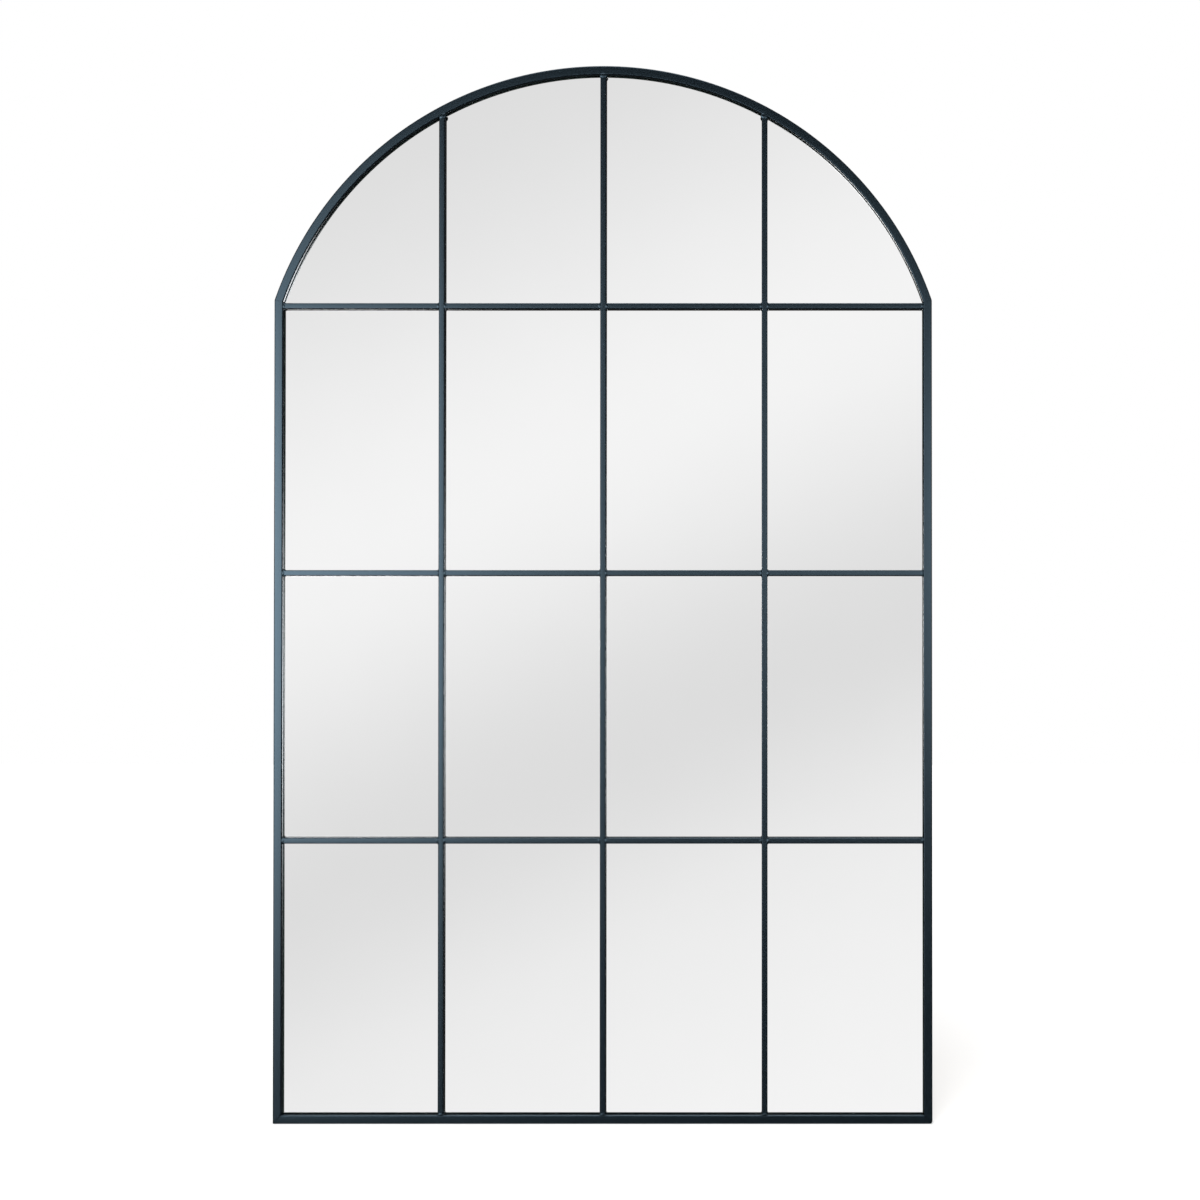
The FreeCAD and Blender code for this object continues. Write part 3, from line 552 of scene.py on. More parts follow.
def backing_paint():
    """The grey paint that seals the silver on the back of the sheet, sprayed and slightly grainy."""
    grain_size = 1 * MM
    material, tree, shader, place = new_material("mirror_backing_paint")
    grain = add_node(
        tree, "ShaderNodeTexNoise", {"Vector": place, "Scale": 1 / grain_size, "Detail": 2},
    )
    tone = add_node(
        tree, "ShaderNodeMix",
        {MIX_FACTOR: grain.outputs["Fac"], MIX_A: linear("#6F7674"), MIX_B: linear("#7D8482")},
        data_type="RGBA",
    )
    tree.links.new(tone.outputs[MIX_RESULT], shader.inputs["Base Color"])
    shader.inputs["Roughness"].default_value = 0.6
    return material


MIRROR_FINISHES = (silvered_glass(), ground_glass(), backing_paint())
print("made", [finish.name for finish in MIRROR_FINISHES])

# %% Mirror sheet
DISC_STEPS = 360
ARRIS = 0.5 * MM
FACING = 0.9
glass_low, glass_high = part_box("mirror_glass")


def edge_height(piece, edge):
    """The height of the lower end of an edge."""
    return min(piece.data.vertices[index].co.z for index in edge.vertices)


def arched_sheet(name, low, high, radius, chamfer):
    """A sheet with upright sides, a round head and chamfered edges, between two corners of a box."""
    shoulder = ARCH_CENTRE.z + math.sqrt(radius ** 2 - high.x ** 2)
    clear_selection()
    bpy.ops.mesh.primitive_circle_add(
        vertices=DISC_STEPS, radius=radius, fill_type="NGON",
        location=(0, low.y, ARCH_CENTRE.z), rotation=(math.pi / 2, 0, 0),
    )
    sheet = new_piece(name)
    edit_selected(sheet, "polygons", everything)
    bpy.ops.mesh.bisect(plane_co=(0, 0, shoulder), plane_no=DOWN, clear_outer=True)
    end_edit()
    edit_selected(
        sheet, "edges",
        lambda edge: is_along(sheet, edge, RIGHT) and edge_height(sheet, edge) < shoulder + chamfer,
    )
    bpy.ops.mesh.extrude_edges_move(TRANSFORM_OT_translate={"value": (0, 0, low.z - shoulder)})
    end_edit()
    edit_selected(sheet, "polygons", everything)
    extrude((0, high.y - low.y, 0))
    end_edit()
    face_outwards(sheet)
    edit_selected(sheet, "polygons", lambda face: abs(face.normal.y) > FACING)
    bpy.ops.mesh.region_to_loop()
    bpy.ops.mesh.bevel(offset=chamfer, segments=1, affect="EDGES")
    end_edit()
    return sheet


sheet = arched_sheet("mirror_sheet", glass_low, glass_high, glass_high.z - ARCH_CENTRE.z, ARRIS)
for finish in MIRROR_FINISHES:
    sheet.data.materials.append(finish)
for face in sheet.data.polygons:
    face.material_index = 0 if face.normal.y < -FACING else 2 if face.normal.y > FACING else 1
complete(sheet, MIRROR_FINISHES[0], ["mirror_glass"])

# %% [markdown]
# ## The back board
# A thin sheet of hardboard closes the back. It has the same outline as the mirror, so the same
# steps make it. Its edge is sawn square and lightly sanded, and its lower corners are ground like
# the frame's. Every screw hole is drilled before the board goes on, so the drills are laid out
# first: down the stiles, along the rail and round the arch, at even steps between the first and
# the last screw of each row.

# %% Hardboard
def hardboard():
    """Pressed wood fibre, brown and matt: short fibres in every tone, smoothed by the press."""
    fibre_size = 4 * MM
    fleck_size = 0.9 * MM
    cloud_size = 160 * MM
    material, tree, shader, place = new_material("pressed_hardboard")
    stretched = add_node(tree, "ShaderNodeMapping", {"Vector": place, "Scale": (1, 1, 3)})
    fibres = add_node(
        tree, "ShaderNodeTexNoise",
        {
            "Vector": stretched.outputs["Vector"],
            "Scale": 1 / fibre_size, "Detail": 6, "Distortion": 1.5,
        },
    )
    flecks = add_node(
        tree, "ShaderNodeTexNoise", {"Vector": place, "Scale": 1 / fleck_size, "Detail": 2},
    )
    clouds = add_node(
        tree, "ShaderNodeTexNoise", {"Vector": place, "Scale": 1 / cloud_size, "Detail": 3},
    )
    brown = add_node(
        tree, "ShaderNodeMix",
        {MIX_FACTOR: fibres.outputs["Fac"], MIX_A: linear("#6B4A30"), MIX_B: linear("#9A7450")},
        data_type="RGBA",
    )
    pale_flecks = add_node(
        tree, "ShaderNodeMapRange",
        {"Value": flecks.outputs["Fac"], "From Min": 0.56, "From Max": 0.72, "To Max": 0.55},
    )
    flecked = add_node(
        tree, "ShaderNodeMix",
        {
            MIX_FACTOR: pale_flecks.outputs["Result"],
            MIX_A: brown.outputs[MIX_RESULT], MIX_B: linear("#B08C66"),
        },
        data_type="RGBA",
    )
    stains = add_node(
        tree, "ShaderNodeMapRange", {"Value": clouds.outputs["Fac"], "To Min": 0.82, "To Max": 1.1},
    )
    shaded = add_node(
        tree, "ShaderNodeVectorMath",
        {0: flecked.outputs[MIX_RESULT], "Scale": stains.outputs["Result"]}, operation="SCALE",
    )
    grain = add_node(
        tree, "ShaderNodeBump",
        {"Height": fibres.outputs["Fac"], "Strength": 0.3, "Distance": 0.1 * MM},
    )
    tree.links.new(shaded.outputs["Vector"], shader.inputs["Base Color"])
    tree.links.new(grain.outputs["Normal"], shader.inputs["Normal"])
    shader.inputs["Roughness"].default_value = 0.62
    shader.inputs["Specular IOR Level"].default_value = 0.3
    return material


HARDBOARD = hardboard()
print("made", HARDBOARD.name)

# %% Screw places
board_low, board_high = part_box("back_board")
BOARD_BACK = board_high.y
HEAD_RADIUS = (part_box("rail_screws")[1].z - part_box("rail_screws")[0].z) / 2
HEAD_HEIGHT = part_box("rail_screws")[1].y - BOARD_BACK
SHANK_LENGTH = BOARD_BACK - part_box("rail_screws")[0].y
STRAP_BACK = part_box("hanger_screws")[1].y - HEAD_HEIGHT
SIDE_COUNT, RAIL_COUNT, ARCH_COUNT = 7, 5, 7


def spread(first, last, count):
    """Evenly spaced numbers from the first to the last."""
    return [first + (last - first) * step / (count - 1) for step in range(count)]


def screw_corners(node):
    """The corners of a node's box, moved in to the axes of its outermost screws."""
    low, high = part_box(node)
    inset = Vector((HEAD_RADIUS, 0, HEAD_RADIUS))
    return low + inset, high - inset


def screw_places():
    """The seat of every screw head, for each node of screws."""
    side_low, side_high = screw_corners("side_screws")
    rail_first, rail_last = screw_corners("rail_screws")
    arch_low, arch_high = screw_corners("arch_screws")
    hanger_low, hanger_high = screw_corners("hanger_screws")
    heights = spread(side_low.z, side_high.z, SIDE_COUNT)
    rail_steps = spread(rail_first.x, rail_last.x, RAIL_COUNT)
    lean = math.atan2(arch_high.x, arch_low.z - ARCH_CENTRE.z)
    reach = arch_high.z - ARCH_CENTRE.z
    return {
        "side_screws": [Vector((x, BOARD_BACK, z)) for x in (side_low.x, side_high.x) for z in heights],
        "rail_screws": [Vector((x, BOARD_BACK, rail_first.z)) for x in rail_steps],
        "arch_screws": [
            ARCH_CENTRE + Vector((reach * math.sin(turn), BOARD_BACK, reach * math.cos(turn)))
            for turn in spread(-lean, lean, ARCH_COUNT)
        ],
        "hanger_screws": [
            Vector((x, STRAP_BACK, z))
            for x in (hanger_low.x, hanger_high.x) for z in (hanger_low.z, hanger_high.z)
        ],
    }


SCREW_PLACES = screw_places()
print({node: len(places) for node, places in SCREW_PLACES.items()})

# %% Board
DRILL_RADIUS = 2 * MM
DRILL_LENGTH = 8 * DRILL_RADIUS
DRILL_STEPS = 24
SAWN_EDGE = 0.3 * MM


def drill(piece, places):
    """Drill a hole through a sheet at each place."""
    drills = []
    for place in places:
        clear_selection()
        bpy.ops.mesh.primitive_cylinder_add(
            vertices=DRILL_STEPS, radius=DRILL_RADIUS, depth=DRILL_LENGTH,
            location=place, rotation=(math.pi / 2, 0, 0),
        )
        drills.append(new_piece("drill"))
    drill_row = join_pieces("drill_row", drills)
    apply_modifier(piece, "BOOLEAN", object=drill_row, operation="DIFFERENCE", solver="EXACT")
    bpy.data.objects.remove(drill_row)


board = arched_sheet("hardboard_back", board_low, board_high, board_high.z - ARCH_CENTRE.z, SAWN_EDGE)
for side_name in SIDES:
    grind_corner(board, side_name, RAIL_TURNS + STILE_TURNS)
drill(board, [place for places in SCREW_PLACES.values() for place in places])
complete(board, HARDBOARD, ["back_board"])

# %% [markdown]
# ## Screws
# Thirty small screws are all one kind: a pan head with a cross recess, zinc plated. One is
# turned from a cylinder: the top is drawn in to the crown, its rim is rounded, the shank is inset
# and drawn down from below, and a tapered bar cuts the recess twice, a quarter turn apart. The
# copies get a different turn each, because no fitter stops every screw at the same angle.

# %% Zinc plate
def zinc_plate():
    """Bright zinc plate on steel: silver with a breath of blue, slightly cloudy from the bath."""
    cloud_size = 2.5 * MM
    material, tree, shader, place = new_material("zinc_plated_steel")
    cloud = add_node(
        tree, "ShaderNodeTexNoise", {"Vector": place, "Scale": 1 / cloud_size, "Detail": 4},
    )
    tone = add_node(
        tree, "ShaderNodeMix",
        {MIX_FACTOR: cloud.outputs["Fac"], MIX_A: linear("#AEB4BA"), MIX_B: linear("#D2D5D8")},
        data_type="RGBA",
    )
    gloss = add_node(
        tree, "ShaderNodeMapRange", {"Value": cloud.outputs["Fac"], "To Min": 0.22, "To Max": 0.42},
    )
    tree.links.new(tone.outputs[MIX_RESULT], shader.inputs["Base Color"])
    tree.links.new(gloss.outputs["Result"], shader.inputs["Roughness"])
    shader.inputs["Metallic"].default_value = 1
    return material


ZINC = zinc_plate()
print("made", ZINC.name)

# %% One screw
SCREW_STEPS = 32
RIM_HEIGHT = 1.4 * MM
CROWN_SHARE = 0.6
CROWN_ROUND = 0.5 * MM
CROWN_STEPS = 4
SHANK_RADIUS = 1.75 * MM
TIP_LENGTH = 2.5 * MM
TIP_SHARE = 0.08
RECESS = Vector((3.8, 0.95, 2.6)) * MM
RECESS_TAPER = 0.45
LEVEL = 0.15 * MM


def at_height(piece, edge, height):
    """Whether an edge lies level at a height."""
    return all(abs(piece.data.vertices[index].co.z - height) < LEVEL for index in edge.vertices)


def pan_head_screw():
    """A screw that stands on its tip, with the seat of its head at the origin."""
    clear_selection()
    bpy.ops.mesh.primitive_cylinder_add(
        vertices=SCREW_STEPS, radius=HEAD_RADIUS, depth=RIM_HEIGHT, location=(0, 0, RIM_HEIGHT / 2),
    )
    screw = new_piece("screw")
    edit_selected(screw, "polygons", lambda face: face.normal.z > FACING)
    extrude((0, 0, HEAD_HEIGHT - RIM_HEIGHT))
    bpy.ops.transform.resize(value=(CROWN_SHARE, CROWN_SHARE, 1), center_override=(0, 0, HEAD_HEIGHT))
    end_edit()
    edit_selected(
        screw, "edges",
        lambda edge: at_height(screw, edge, RIM_HEIGHT) or at_height(screw, edge, HEAD_HEIGHT),
    )
    bpy.ops.mesh.bevel(offset=CROWN_ROUND, segments=CROWN_STEPS, affect="EDGES")
    end_edit()
    edit_selected(screw, "polygons", lambda face: face.normal.z < -FACING)
    bpy.ops.mesh.inset(thickness=HEAD_RADIUS - SHANK_RADIUS)
    extrude((0, 0, TIP_LENGTH - SHANK_LENGTH))
    extrude((0, 0, -TIP_LENGTH))
    bpy.ops.transform.resize(value=(TIP_SHARE, TIP_SHARE, 1), center_override=(0, 0, -SHANK_LENGTH))
    end_edit()
    clear_selection()
    bpy.ops.mesh.primitive_cube_add(size=1, location=(0, 0, HEAD_HEIGHT))
    cutter = new_piece("recess_cutter", RECESS)
    edit_selected(cutter, "polygons", lambda face: face.normal.z < -FACING)
    bpy.ops.transform.resize(value=(RECESS_TAPER, RECESS_TAPER, 1), center_override=(0, 0, 0))
    end_edit()
    for _ in range(2):
        apply_modifier(screw, "BOOLEAN", object=cutter, operation="DIFFERENCE", solver="EXACT")
        cutter.data.transform(Matrix.Rotation(math.pi / 2, 4, "Z"))
    bpy.data.objects.remove(cutter)
    return screw


model_screw = pan_head_screw()
print("one screw has", len(model_screw.data.polygons), "faces")

# %% All screws
TURN_STEP = math.radians(137.5)


def place_copies(model, name, places, turns):
    """Copies of a model that stands up, laid back to face the wall, at places and turns."""
    copies = []
    for place, turn in zip(places, turns):
        copy = model.copy()
        copy.data = model.data.copy()
        laid_back = Matrix.Rotation(turn, 4, "Y") @ Matrix.Rotation(-math.pi / 2, 4, "X")
        copy.data.transform(Matrix.Translation(place) @ laid_back)
        bpy.context.scene.collection.objects.link(copy)
        copies.append(copy)
    return join_pieces(name, copies)


for node, places in SCREW_PLACES.items():
    turns = [TURN_STEP * count for count in range(len(places))]
    complete(place_copies(model_screw, f"{node}_zinc", places, turns), ZINC, [node])
bpy.data.objects.remove(model_screw)

# %% [markdown]
# ## Hangers
# A strap of sheet steel is punched with a round foot and rolled into an eye at its top. Bevelling
# the two corners of a plate by nearly half its width gives the foot. Spinning its end face about
# the pin of the joint rolls the eye. The ring is wire, and it is bent the way a wire bender does
# it: one round end face is pushed along the straights and spun round the bends until it is back
# where it began. The ring rides on its own body, so it swings.

# %% Straps
STRAP_ROLL = math.radians(310)
STRAP_EDGE = 0.2 * MM
STRAP_STEPS = 16
PINS = {joint["child"]: Vector(joint["pos_m"]) for joint in frame["joints"]}
EYE_LENGTH = 3 * MM
FOOT_FLAT = 0.15 * MM


def hanger_strap(side_name):
    """A strap with a round foot, two holes and an eye rolled about the pin of the ring."""
    low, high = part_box(f"{side_name}_hanger_strap")
    pin = PINS[f"{side_name}_ring"]
    half = (high.x - low.x) / 2
    eye_outer = high.z - pin.z
    plate_low = Vector((low.x, BOARD_BACK, low.z))
    plate_high = Vector((high.x, STRAP_BACK, pin.z - EYE_LENGTH))
    clear_selection()
    bpy.ops.mesh.primitive_cube_add(size=1, location=(plate_low + plate_high) / 2)
    strap = new_piece(f"{side_name}_hanger_strap_zinc", plate_high - plate_low)
    foot = plate_low.z + STRAP_EDGE
    edit_selected(
        strap, "edges",
        lambda edge: is_along(strap, edge, BACKWARDS) and edge_height(strap, edge) < foot,
    )
    bpy.ops.mesh.bevel(offset=half - FOOT_FLAT, segments=STRAP_STEPS, affect="EDGES")
    end_edit()
    edit_selected(strap, "polygons", lambda face: face.normal.z > FACING)
    extrude((0, pin.y - eye_outer - BOARD_BACK, EYE_LENGTH))
    bpy.ops.mesh.spin(steps=2 * STRAP_STEPS, angle=STRAP_ROLL, center=pin, axis=RIGHT)
    end_edit()
    face_outwards(strap)
    drill(strap, [place for place in SCREW_PLACES["hanger_screws"] if place.x * pin.x > 0])
    apply_modifier(strap, "BEVEL", width=STRAP_EDGE, segments=2, limit_method="ANGLE")
    return strap


for side_name in SIDES:
    node = f"{side_name}_hanger_strap"
    complete(hanger_strap(side_name), ZINC, [node])

# %% Rings
RING_BEND = 2 * MM
WIRE_STEPS = 20
BEND_STEPS = 10


def hanger_ring(side_name):
    """A ring of round wire: a straight through the eye, two tight bends, two legs and a bow."""
    low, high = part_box(f"{side_name}_hanger_ring")
    pin = PINS[f"{side_name}_ring"]
    wire = (high.y - low.y) / 2
    half = (high.x - low.x) / 2 - wire
    straight = half - RING_BEND
    leg_end = low.z + wire + half
    leg = pin.z - RING_BEND - leg_end
    clear_selection()
    bpy.ops.mesh.primitive_circle_add(
        vertices=WIRE_STEPS, radius=wire, fill_type="NGON", location=pin, rotation=(0, math.pi / 2, 0),
    )
    ring = new_piece(f"{side_name}_hanger_ring_zinc")
    quarter, half_turn = math.pi / 2, math.pi
    bends = [
        ((straight, 0, 0), Vector((pin.x + straight, pin.y, pin.z - RING_BEND)), quarter, BEND_STEPS),
        ((0, 0, -leg), Vector((pin.x, pin.y, leg_end)), half_turn, 3 * BEND_STEPS),
        ((0, 0, leg), Vector((pin.x - straight, pin.y, pin.z - RING_BEND)), quarter, BEND_STEPS),
    ]
    edit_selected(ring, "polygons", everything)
    for push, centre, angle, steps in bends:
        extrude(push)
        bpy.ops.mesh.spin(steps=steps, angle=angle, center=centre, axis=-BACKWARDS)
    extrude((straight, 0, 0))
    end_edit()
    edit_selected(ring, "polygons", lambda face: len(face.vertices) == WIRE_STEPS)
    bpy.ops.mesh.delete(type="ONLY_FACE")
    end_edit()
    face_outwards(ring)
    return ring


for side_name in SIDES:
    node = f"{side_name}_hanger_ring"
    complete(hanger_ring(side_name), ZINC, [node], f"{side_name}_ring")

# %% [markdown]
# ## Bumpers, blocks and tape
# Four rubber bumpers keep the back off the wall. Each is a tapered disc with a round rim and a
# dished face, as it comes out of the mould. The setting blocks under the glass and the foam tape
# behind it stay hidden, so their construction shapes are enough, but they get their own finish.

# %% Rubber and foam
def moulded_rubber():
    """Black rubber from a mould: matt, a little dusty, with a fine grain."""
    grain_size = 0.5 * MM
    bloom_size = 5 * MM
    material, tree, shader, place = new_material("moulded_black_rubber")
    grain = add_node(
        tree, "ShaderNodeTexNoise", {"Vector": place, "Scale": 1 / grain_size, "Detail": 2},
    )
    bloom = add_node(
        tree, "ShaderNodeTexNoise", {"Vector": place, "Scale": 1 / bloom_size, "Detail": 3},
    )
    tone = add_node(
        tree, "ShaderNodeMix",
        {MIX_FACTOR: bloom.outputs["Fac"], MIX_A: linear("#131313"), MIX_B: linear("#232322")},
        data_type="RGBA",
    )
    skin = add_node(
        tree, "ShaderNodeBump",
        {"Height": grain.outputs["Fac"], "Strength": 0.3, "Distance": 0.05 * MM},
    )
    tree.links.new(tone.outputs[MIX_RESULT], shader.inputs["Base Color"])
    tree.links.new(skin.outputs["Normal"], shader.inputs["Normal"])
    shader.inputs["Roughness"].default_value = 0.72
    shader.inputs["Specular IOR Level"].default_value = 0.3
    return material


def foam():
    """Closed-cell foam tape: off-white and soft, with cells that are drawn as small rings."""
    cell_size = 0.8 * MM
    material, tree, shader, place = new_material("closed_cell_foam_tape")
    cells = add_node(tree, "ShaderNodeTexVoronoi", {"Vector": place, "Scale": 1 / cell_size})
    tone = add_node(
        tree, "ShaderNodeMix",
        {MIX_FACTOR: cells.outputs["Distance"], MIX_A: linear("#D8D8D4"), MIX_B: linear("#F0F0EC")},
        data_type="RGBA",
    )
    tree.links.new(tone.outputs[MIX_RESULT], shader.inputs["Base Color"])
    shader.inputs["Roughness"].default_value = 0.85
    return material


RUBBER = moulded_rubber()
for node, finish in (("setting_blocks", RUBBER), ("foam_tape", foam())):
    kept = frame["nodes"][node]
    kept.data.materials.clear()
    kept.data.materials.append(finish)
    print(node, "in", finish.name)

# %% Bumpers
BUMPER_RADIUS = 6 * MM
BUMPER_TAPER = math.radians(8)
BUMPER_SPREAD = 120 * MM
BUMPER_ROUND = 1.2 * MM
BUMPER_STEPS = 48
ROUND_STEPS = 5
DISH = 0.5 * MM


def wall_bumper(height):
    """A bumper that stands on its base at the origin."""
    clear_selection()
    bpy.ops.mesh.primitive_cylinder_add(
        vertices=BUMPER_STEPS, radius=BUMPER_RADIUS, depth=height, location=(0, 0, height / 2),
    )
    bumper = new_piece("bumper")
    narrow = 1 - height * math.tan(BUMPER_TAPER) / BUMPER_RADIUS
    edit_selected(bumper, "polygons", lambda face: face.normal.z > FACING)
    bpy.ops.transform.resize(value=(narrow, narrow, 1), center_override=(0, 0, height))
    bpy.ops.mesh.bevel(offset=BUMPER_ROUND, segments=ROUND_STEPS, affect="EDGES")
    end_edit()
    edit_selected(bumper, "polygons", lambda face: face.normal.z > STRAIGHT)
    bpy.ops.mesh.inset(thickness=BUMPER_ROUND)
    bpy.ops.transform.translate(value=(0, 0, -DISH))
    end_edit()
    return bumper


bumper_low, bumper_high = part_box("wall_bumpers")
foot_across = bumper_high.x - BUMPER_RADIUS
foot_height = bumper_low.z + BUMPER_RADIUS
head_height = bumper_high.z - BUMPER_RADIUS
bumper_places = [
    Vector((side * across, BOARD_BACK, height))
    for side in SIDES.values()
    for across, height in ((foot_across, foot_height), (BUMPER_SPREAD, head_height))
]
model_bumper = wall_bumper(bumper_high.y - BOARD_BACK)
bumpers = place_copies(model_bumper, "wall_bumpers_rubber", bumper_places, [0] * len(bumper_places))
bpy.data.objects.remove(model_bumper)
complete(bumpers, RUBBER, ["wall_bumpers"])

# %% [markdown]
# ## The room in the glass
# A mirror shows its room, so the room is drawn for each kind of ray. The glass sees a wide sheet
# of studio paper, with soft grey bands that slope across it. The dot product of a ray's direction
# with the slope tells how far along the slope it looks, and a colour ramp turns that into grey.
# The paper dims towards the sides, and the room behind the mirror is bright again, so that the
# zinc on the back has something to shine with.

# %% Paper and bands
BAND_SLOPE = (0.41, 0, -0.91)
BAND_STOPS = ((-0.316, 0.77), (-0.128, 0.95), (0.028, 0.765), (0.13, 0.87), (0.278, 0.955))
RAMP_MIDDLE = 0.5
FRONT_COSINES = (0.15, 0.6)
BACK_COSINES = (0.2, -0.2)
SIDE_LEVEL = 0.2
BACK_LEVEL = 0.85

scene = bpy.context.scene
room = bpy.data.worlds.new("white_studio")
scene.world = room
room.use_nodes = True
tree = room.node_tree
ray = add_node(tree, "ShaderNodeLightPath")
direction = add_node(tree, "ShaderNodeTexCoord").outputs["Generated"]
slope = add_node(tree, "ShaderNodeVectorMath", {0: direction, 1: BAND_SLOPE}, operation="DOT_PRODUCT")
along = add_node(tree, "ShaderNodeMath", {0: slope.outputs["Value"], 1: RAMP_MIDDLE}, operation="ADD")
bands = add_node(tree, "ShaderNodeValToRGB", {"Fac": along.outputs["Value"]})
bands.color_ramp.interpolation = "CARDINAL"
while len(bands.color_ramp.elements) < len(BAND_STOPS):
    bands.color_ramp.elements.new(RAMP_MIDDLE)
for element, (place, grey) in zip(bands.color_ramp.elements, BAND_STOPS):
    element.position = RAMP_MIDDLE + place
    element.color = (grey, grey, grey, 1)
facing = add_node(tree, "ShaderNodeVectorMath", {0: direction, 1: -BACKWARDS}, operation="DOT_PRODUCT")
front = add_node(
    tree, "ShaderNodeMapRange",
    {
        "Value": facing.outputs["Value"],
        "From Min": FRONT_COSINES[0], "From Max": FRONT_COSINES[1], "To Min": SIDE_LEVEL,
    },
    interpolation_type="SMOOTHSTEP",
)
back = add_node(
    tree, "ShaderNodeMapRange",
    {
        "Value": facing.outputs["Value"],
        "From Min": BACK_COSINES[0], "From Max": BACK_COSINES[1], "To Max": BACK_LEVEL,
    },
    interpolation_type="SMOOTHSTEP",
)
print(len(BAND_STOPS), "stops from", BAND_STOPS[0], "to", BAND_STOPS[-1])

# %% [markdown]
# ## The room in the paint
# Satin paint shows its room as well, but blurred into a sheen. A photographer sets large soft
# panels beside the camera for that, and keeps them out of the mirror with screens. Light Path does
# the screening. Only a mirror as sharp as the glass makes a singular ray, so the first reflection
# from the paint sees the paper in shade and two soft panels, a strong one on the left and a weaker
# one on the right. Later reflections, such as the inner walls of the tubes by way of the glass,
# see two smaller panels, and those draw the bright lines along the arch.

# %% Panels
PAPER_SHADE = 0.05
# A ray's depth is 1 at the lens and 2 after its first reflection.
AFTER_FIRST = 2.5
PANELS = (
    (12.5, Vector((-0.354, 0, 0.020)), Vector((0.320, 1, 0.300))),
    (5.6, Vector((0.210, 0, 0.040)), Vector((0.357, 1, 0.175))),
)
PANELS_IN_WALLS = (
    (14, Vector((-0.245, 0, -0.01)), Vector((0.12, 1, 0.11))),
    (14, Vector((0.36, 0, -0.04)), Vector((0.12, 1, 0.14))),
)

first = add_node(
    tree, "ShaderNodeMath", {0: ray.outputs["Ray Depth"], 1: AFTER_FIRST}, operation="LESS_THAN",
)
from_glass = add_node(
    tree, "ShaderNodeMath",
    {0: ray.outputs["Is Singular Ray"], 1: first.outputs["Value"]}, operation="MULTIPLY",
)
from_paint = add_node(
    tree, "ShaderNodeMath",
    {0: first.outputs["Value"], 1: ray.outputs["Is Singular Ray"]}, operation="GREATER_THAN",
)
from_wall = add_node(tree, "ShaderNodeMath", {0: 1, 1: first.outputs["Value"]}, operation="SUBTRACT")
forward = add_node(tree, "ShaderNodeMath", {0: facing.outputs["Value"], 1: 0}, operation="GREATER_THAN")
shade = add_node(
    tree, "ShaderNodeMapRange", {"Value": from_glass.outputs["Value"], "To Min": PAPER_SHADE},
)
level = add_node(
    tree, "ShaderNodeMath",
    {0: front.outputs["Result"], 1: shade.outputs["Result"]}, operation="MULTIPLY",
)
paper = add_node(
    tree, "ShaderNodeVectorMath",
    {0: bands.outputs["Color"], "Scale": level.outputs["Value"]}, operation="SCALE",
)
reflected = add_node(
    tree, "ShaderNodeVectorMath",
    {0: paper.outputs["Vector"], 1: back.outputs["Result"]}, operation="ADD",
)
for panels, seen_from in ((PANELS, from_paint), (PANELS_IN_WALLS, from_wall)):
    shown = add_node(
        tree, "ShaderNodeMath",
        {0: seen_from.outputs["Value"], 1: forward.outputs["Value"]}, operation="MULTIPLY",
    )
    for strength, middle, half in panels:
        apart = add_node(tree, "ShaderNodeVectorMath", {0: direction, 1: middle}, operation="SUBTRACT")
        shares = add_node(
            tree, "ShaderNodeVectorMath",
            {0: apart.outputs["Vector"], 1: (1 / half.x, 0, 1 / half.z)}, operation="MULTIPLY",
        )
        share = add_node(
            tree, "ShaderNodeVectorMath", {0: shares.outputs["Vector"]}, operation="LENGTH",
        )
        glow = add_node(
            tree, "ShaderNodeMapRange",
            {"Value": share.outputs["Value"], "To Min": strength, "To Max": 0},
            interpolation_type="SMOOTHSTEP",
        )
        light = add_node(
            tree, "ShaderNodeMath",
            {0: glow.outputs["Result"], 1: shown.outputs["Value"]}, operation="MULTIPLY",
        )
        reflected = add_node(
            tree, "ShaderNodeVectorMath",
            {0: reflected.outputs["Vector"], 1: light.outputs["Value"]}, operation="ADD",
        )
print(len(PANELS), "panels for the paint and", len(PANELS_IN_WALLS), "for the inner walls")

# %% [markdown]
# ## All rays together
# The camera and clear glass see plain white, reflections see the room above, and every other ray
# meets an even level, so that the room lights the mirror softly from all round.

# %% Room
ROOM_LEVEL = 0.55
WHITE = (1, 1, 1, 1)
seen = add_node(
    tree, "ShaderNodeMath",
    {0: ray.outputs["Is Camera Ray"], 1: ray.outputs["Is Transmission Ray"]}, operation="MAXIMUM",
)
with_reflection = add_node(
    tree, "ShaderNodeMix",
    {
        MIX_FACTOR: ray.outputs["Is Glossy Ray"],
        MIX_A: (ROOM_LEVEL, ROOM_LEVEL, ROOM_LEVEL, 1), MIX_B: reflected.outputs["Vector"],
    },
    data_type="RGBA",
)
with_camera = add_node(
    tree, "ShaderNodeMix",
    {MIX_FACTOR: seen.outputs["Value"], MIX_A: with_reflection.outputs[MIX_RESULT], MIX_B: WHITE},
    data_type="RGBA",
)
tree.links.new(with_camera.outputs[MIX_RESULT], tree.nodes["Background"].inputs["Color"])
print(room.name, "has", len(tree.nodes), "nodes")

# %% [markdown]
# ## Floor and sun
# The floor is painted nearly white. The camera sees it lifted a little, so that it meets the white
# of the room without a line, and it still takes the shadow. Reflections leave it out, because the
# glass shows only paper. One broad sun from the front and above lays that shadow behind the mirror.

# %% Floor
FLOOR_SIZE = 14
FLOOR_LIFT = 0.3


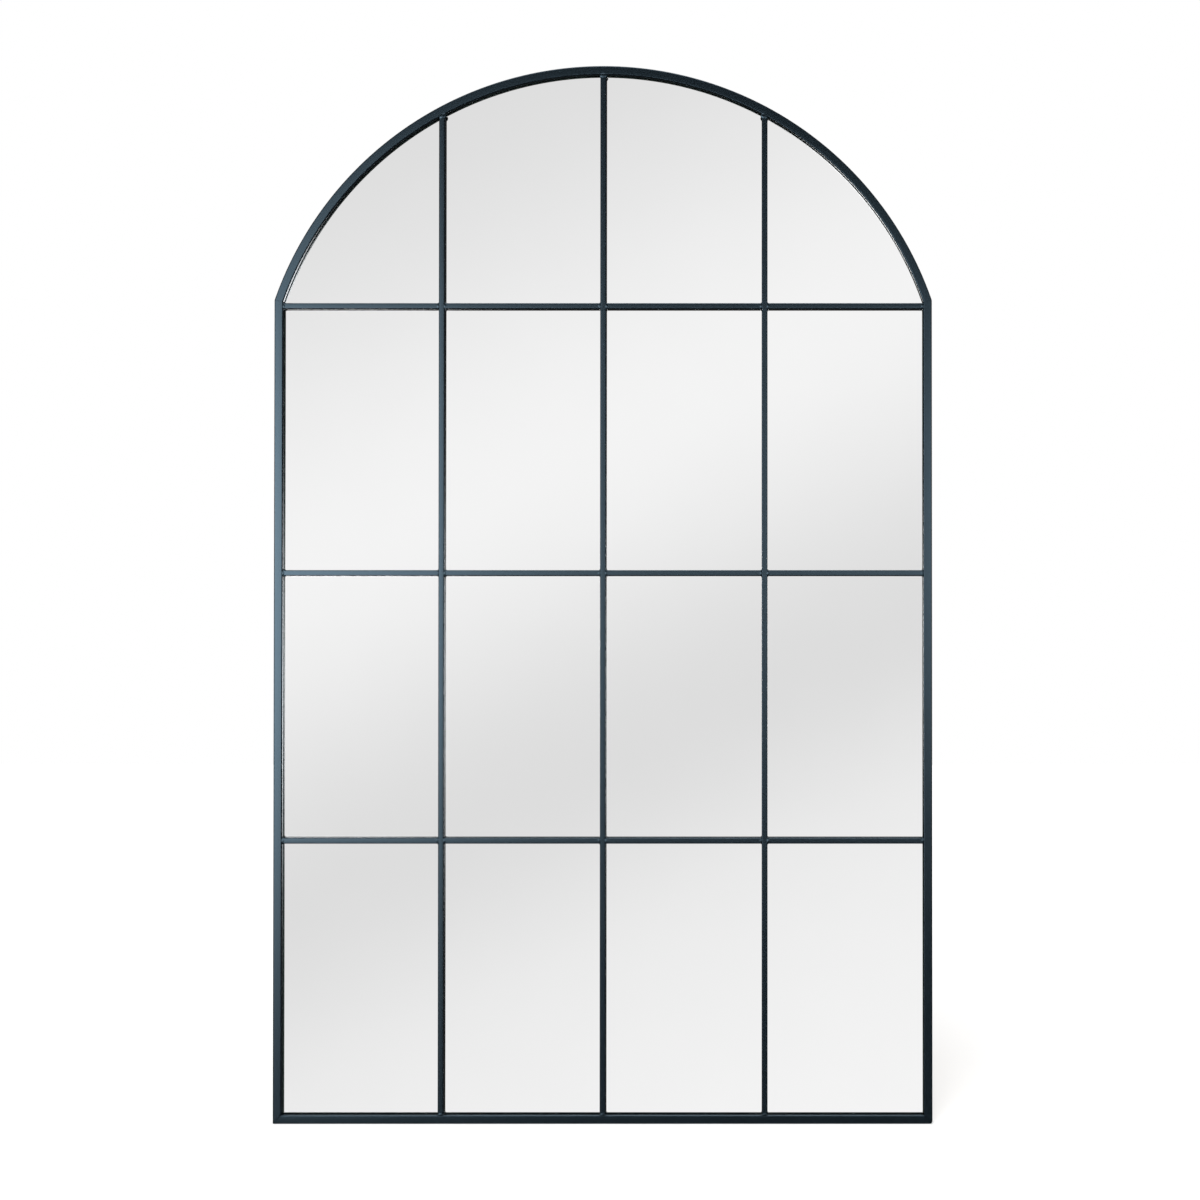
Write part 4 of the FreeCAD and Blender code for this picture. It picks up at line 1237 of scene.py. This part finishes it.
def studio_floor():
    """Pale floor paint, rolled on: matt and nearly even."""
    cloud_size = 700 * MM
    material, tree, shader, place = new_material("pale_studio_floor_paint")
    cloud = add_node(
        tree, "ShaderNodeTexNoise", {"Vector": place, "Scale": 1 / cloud_size, "Detail": 3},
    )
    tone = add_node(
        tree, "ShaderNodeMix",
        {MIX_FACTOR: cloud.outputs["Fac"], MIX_A: linear("#F1F1F0"), MIX_B: linear("#F7F7F6")},
        data_type="RGBA",
    )
    ray = add_node(tree, "ShaderNodeLightPath")
    lift = add_node(
        tree, "ShaderNodeMath", {0: ray.outputs["Is Camera Ray"], 1: FLOOR_LIFT}, operation="MULTIPLY",
    )
    tree.links.new(tone.outputs[MIX_RESULT], shader.inputs["Base Color"])
    tree.links.new(lift.outputs["Value"], shader.inputs["Emission Strength"])
    shader.inputs["Emission Color"].default_value = WHITE
    shader.inputs["Roughness"].default_value = 0.9
    shader.inputs["Specular IOR Level"].default_value = 0.1
    return material


clear_selection()
bpy.ops.mesh.primitive_plane_add(size=FLOOR_SIZE)
floor = new_piece("studio_floor")
floor.data.materials.append(studio_floor())
floor.visible_glossy = False
print("floor", FLOOR_SIZE, "m wide")

# %% Sun
SUN_FROM = Vector((-0.1, -0.62, 1.0))
SUN_STRENGTH = 1.6
SUN_WIDTH = math.radians(35)
clear_selection()
bpy.ops.object.light_add(type="SUN", rotation=(-SUN_FROM).to_track_quat("-Z", "Y").to_euler())
sun = bpy.context.object
sun.name = "broad_sun"
sun.data.energy = SUN_STRENGTH
sun.data.angle = SUN_WIDTH
print("sun from", tuple(SUN_FROM))

# %% [markdown]
# ## Camera
# The photograph looks straight at the mirror from a little right of its middle, at about half its
# height. A level camera with a sideways shift keeps the uprights upright, and half a degree of
# upward tilt makes the foot as much wider than the head as it is in the photograph.

# %% Camera
CAMERA_ACROSS = 0.27
CAMERA_HEIGHT = 0.865
CAMERA_DISTANCE = 2.94
PICTURE_WIDTH = 2.0405
PICTURE_MIDDLE = -0.0049
TILT_UP = math.radians(0.47)
clear_selection()
bpy.ops.object.camera_add(
    location=(CAMERA_ACROSS, FRONT - CAMERA_DISTANCE, CAMERA_HEIGHT),
    rotation=(math.pi / 2 + TILT_UP, 0, 0),
)
camera = bpy.context.object
camera.data.lens = camera.data.sensor_width * CAMERA_DISTANCE / PICTURE_WIDTH
camera.data.shift_x = (PICTURE_MIDDLE - CAMERA_ACROSS) / PICTURE_WIDTH
scene.camera = camera
scene.view_settings.view_transform = "Standard"
print("lens", round(camera.data.lens, 1), "mm, shift", round(camera.data.shift_x, 4))
